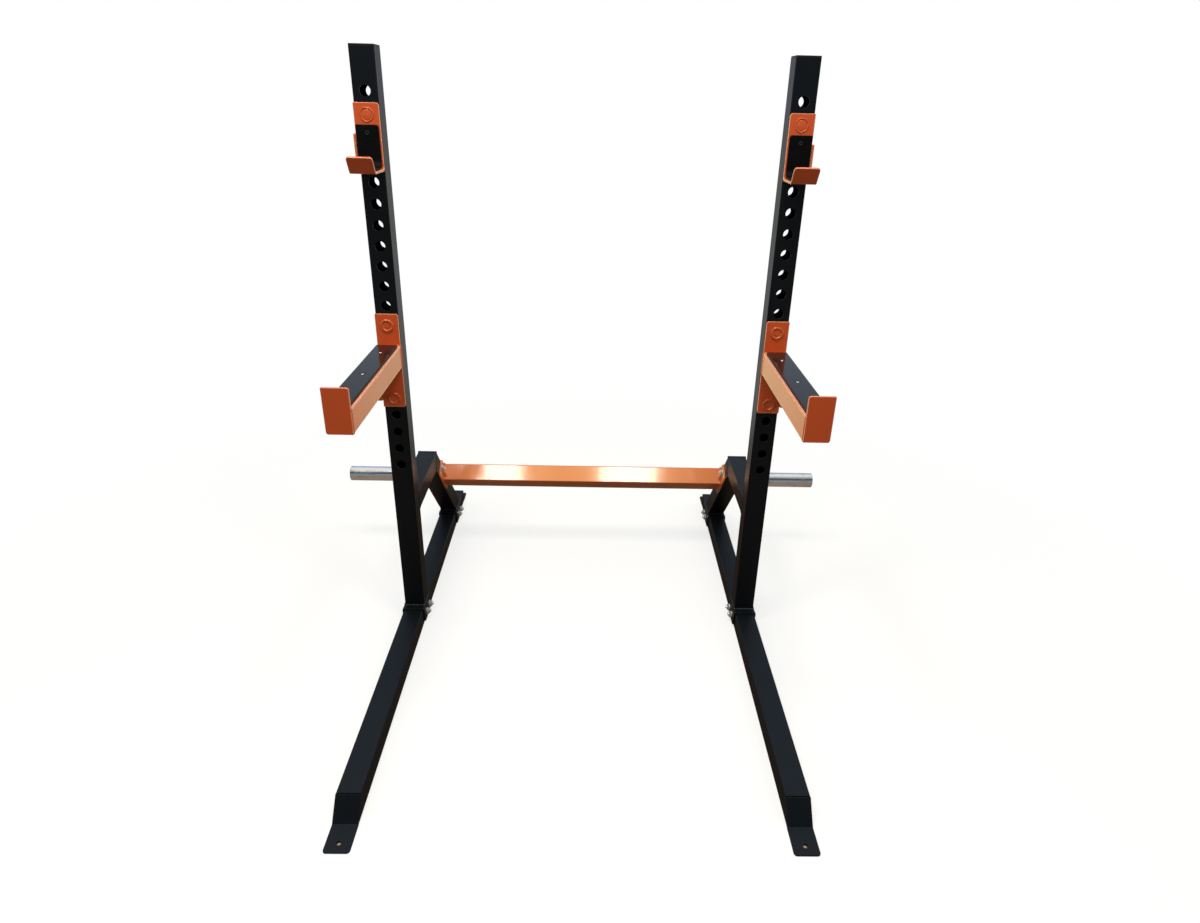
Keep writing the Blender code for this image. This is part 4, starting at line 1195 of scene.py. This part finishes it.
def make_floor():
    """A pale floor that keeps a soft shadow. To the camera it is white, with painted shade under the foot
    plates' holes.

    In reflections it is pale behind the rack and dark around and in front of it, as in the photo, and
    as a source of bounced light it is dull."""
    shader = Finish("floor")
    camera = shader.add("ShaderNodeLightPath", out="Is Camera Ray")
    seen = any_of(shader, "Is Camera Ray", "Is Glossy Ray", "Is Transmission Ray")
    where = shader.add("ShaderNodeTexCoord", out="Object")
    x, y, _ = shader.split(where)
    far = shader.add("ShaderNodeVectorMath", {"operation": "LENGTH"}, {0: where}, "Value")
    lit = shader.clamp(far, *PAPER_FADE, PAPER_SHARE, 0.0)
    ahead = shader.mix(shader.clamp(y, *FRONT_FADE), FLOOR_MIRRORED_FRONT, FLOOR_MIRRORED_NEAR)
    around = shader.mix(shader.clamp(x.absolute(), *ASIDE_FADE), ahead, FLOOR_MIRRORED_ASIDE)
    mirrored = shader.mix(shader.clamp(y, *FAR_FADE), around, FLOOR_MIRRORED_FAR)
    # Painted shade in the foot plates' holes, dark with a brown middle, shown to the camera alone
    hole_shade_mask = in_holes(shader, where, FLOOR_HOLE_D)
    spot = in_holes(shader, where, FLOOR_HOLE_D * HOLE_SPOT)
    straight = shader.mix(spot, shader.mix(hole_shade_mask, WHITE, HOLE_PAINTED_SHADE), FLOOR_IN_HOLE_MIDDLE)
    glow = shader.mix(camera, mirrored, straight)
    white = shader.add("ShaderNodeEmission", None, {"Color": glow, "Strength": 1.0})
    paper = shader.add("ShaderNodeBsdfDiffuse", None, {"Color": PAPER})
    shown = shader.add("ShaderNodeMixShader", None, {0: lit * camera * (1.0 - hole_shade_mask), 1: white, 2: paper})
    dull = shader.add("ShaderNodeBsdfDiffuse", None, {"Color": FLOOR_BOUNCE})
    whole = shader.add("ShaderNodeMixShader", None, {0: seen, 1: dull, 2: shown})
    shader.add("ShaderNodeOutputMaterial", None, {"Surface": whole})
    reach = FLOOR_REACH
    corners = [(-reach, -reach, -GAP), (reach, -reach, -GAP), (reach, reach, -GAP), (-reach, reach, -GAP)]
    floor = mesh_object("studio_floor", corners, [[0, 1, 2, 3]])
    floor.data.materials.append(shader.made)


def make_world():
    """White to the camera. In reflections a room: dark in front, a pale wall behind, a bright ceiling."""
    world = bpy.data.worlds.new("studio")
    bpy.context.scene.world = world
    world.use_nodes = True
    shader = Shader(world.node_tree)
    camera = shader.add("ShaderNodeLightPath", out="Is Camera Ray")
    mirrored = any_of(shader, "Is Glossy Ray", "Is Transmission Ray")
    x, y, z = shader.split(shader.add("ShaderNodeTexCoord", out="Generated"))
    front, back = shader.ramp(z, FRONT_ROOM), shader.ramp(z, BACK_ROOM)
    room = shader.mix(shader.clamp(y, *ROOM_TURN), front, back)
    lamp = shader.mix(shader.clamp(z, *LIGHT_RISE), LIGHT_SIDES, LIGHT_ABOVE)
    lamp = shader.mix(shader.clamp(x.absolute(), *WINDOW_TURN), lamp, SIDE_WINDOWS)
    colour = shader.mix(camera, shader.mix(mirrored, lamp, room), WHITE)
    sky = shader.add("ShaderNodeBackground", None, {"Color": colour, "Strength": 1.0})
    shader.add("ShaderNodeOutputWorld", None, {"Surface": sky})


def ceiling_lamp(name, x):
    """A flat lamp under the ceiling that shines straight down, and that the crossbar mirrors."""
    lamp = bpy.data.lights.new(name, "AREA")
    lamp.shape = "RECTANGLE"
    lamp.size, lamp.size_y = LAMP_SIZE
    lamp.energy = LAMP_WATTS
    lamp.color = LAMP_COLOUR
    made = bpy.data.objects.new(name, lamp)
    made.location = (x, LAMP_Y, LAMP_Z)
    bpy.context.scene.collection.objects.link(made)


def make_camera():
    """The photo's camera: a plain lens turned by yaw, pitch and roll, with the photo's small shift."""
    yaw, pitch, roll = CAMERA_YAW, CAMERA_PITCH, CAMERA_ROLL
    ahead = Vector((sin(yaw) * cos(pitch), cos(yaw) * cos(pitch), sin(pitch)))
    level = Vector((cos(yaw), -sin(yaw), 0))
    up = level.cross(ahead)
    right = level * cos(roll) + up * sin(roll)
    above = up * cos(roll) - level * sin(roll)
    turn = Matrix((right, above, -ahead)).transposed()
    lens = bpy.data.cameras.new("photo_camera")
    lens.sensor_width = SENSOR_MM
    lens.lens = CAMERA_FOCUS_PX / PHOTO_WIDTH * SENSOR_MM
    lens.shift_x = (PHOTO_WIDTH / 2 - CAMERA_CENTRE_PX[0]) / PHOTO_WIDTH
    lens.shift_y = (CAMERA_CENTRE_PX[1] - PHOTO_HEIGHT / 2) / PHOTO_WIDTH
    lens.clip_start, lens.clip_end = CAMERA_CLIP
    made = bpy.data.objects.new("photo_camera", lens)
    made.matrix_world = Matrix.Translation(CAMERA_PLACE) @ turn.to_4x4()
    bpy.context.scene.collection.objects.link(made)
    bpy.context.scene.camera = made


build_rack()
make_floor()
make_world()
for side, place in LAMPS:
    ceiling_lamp("ceiling_lamp_" + side, place)
make_camera()
bpy.context.scene.view_settings.view_transform = "Standard"
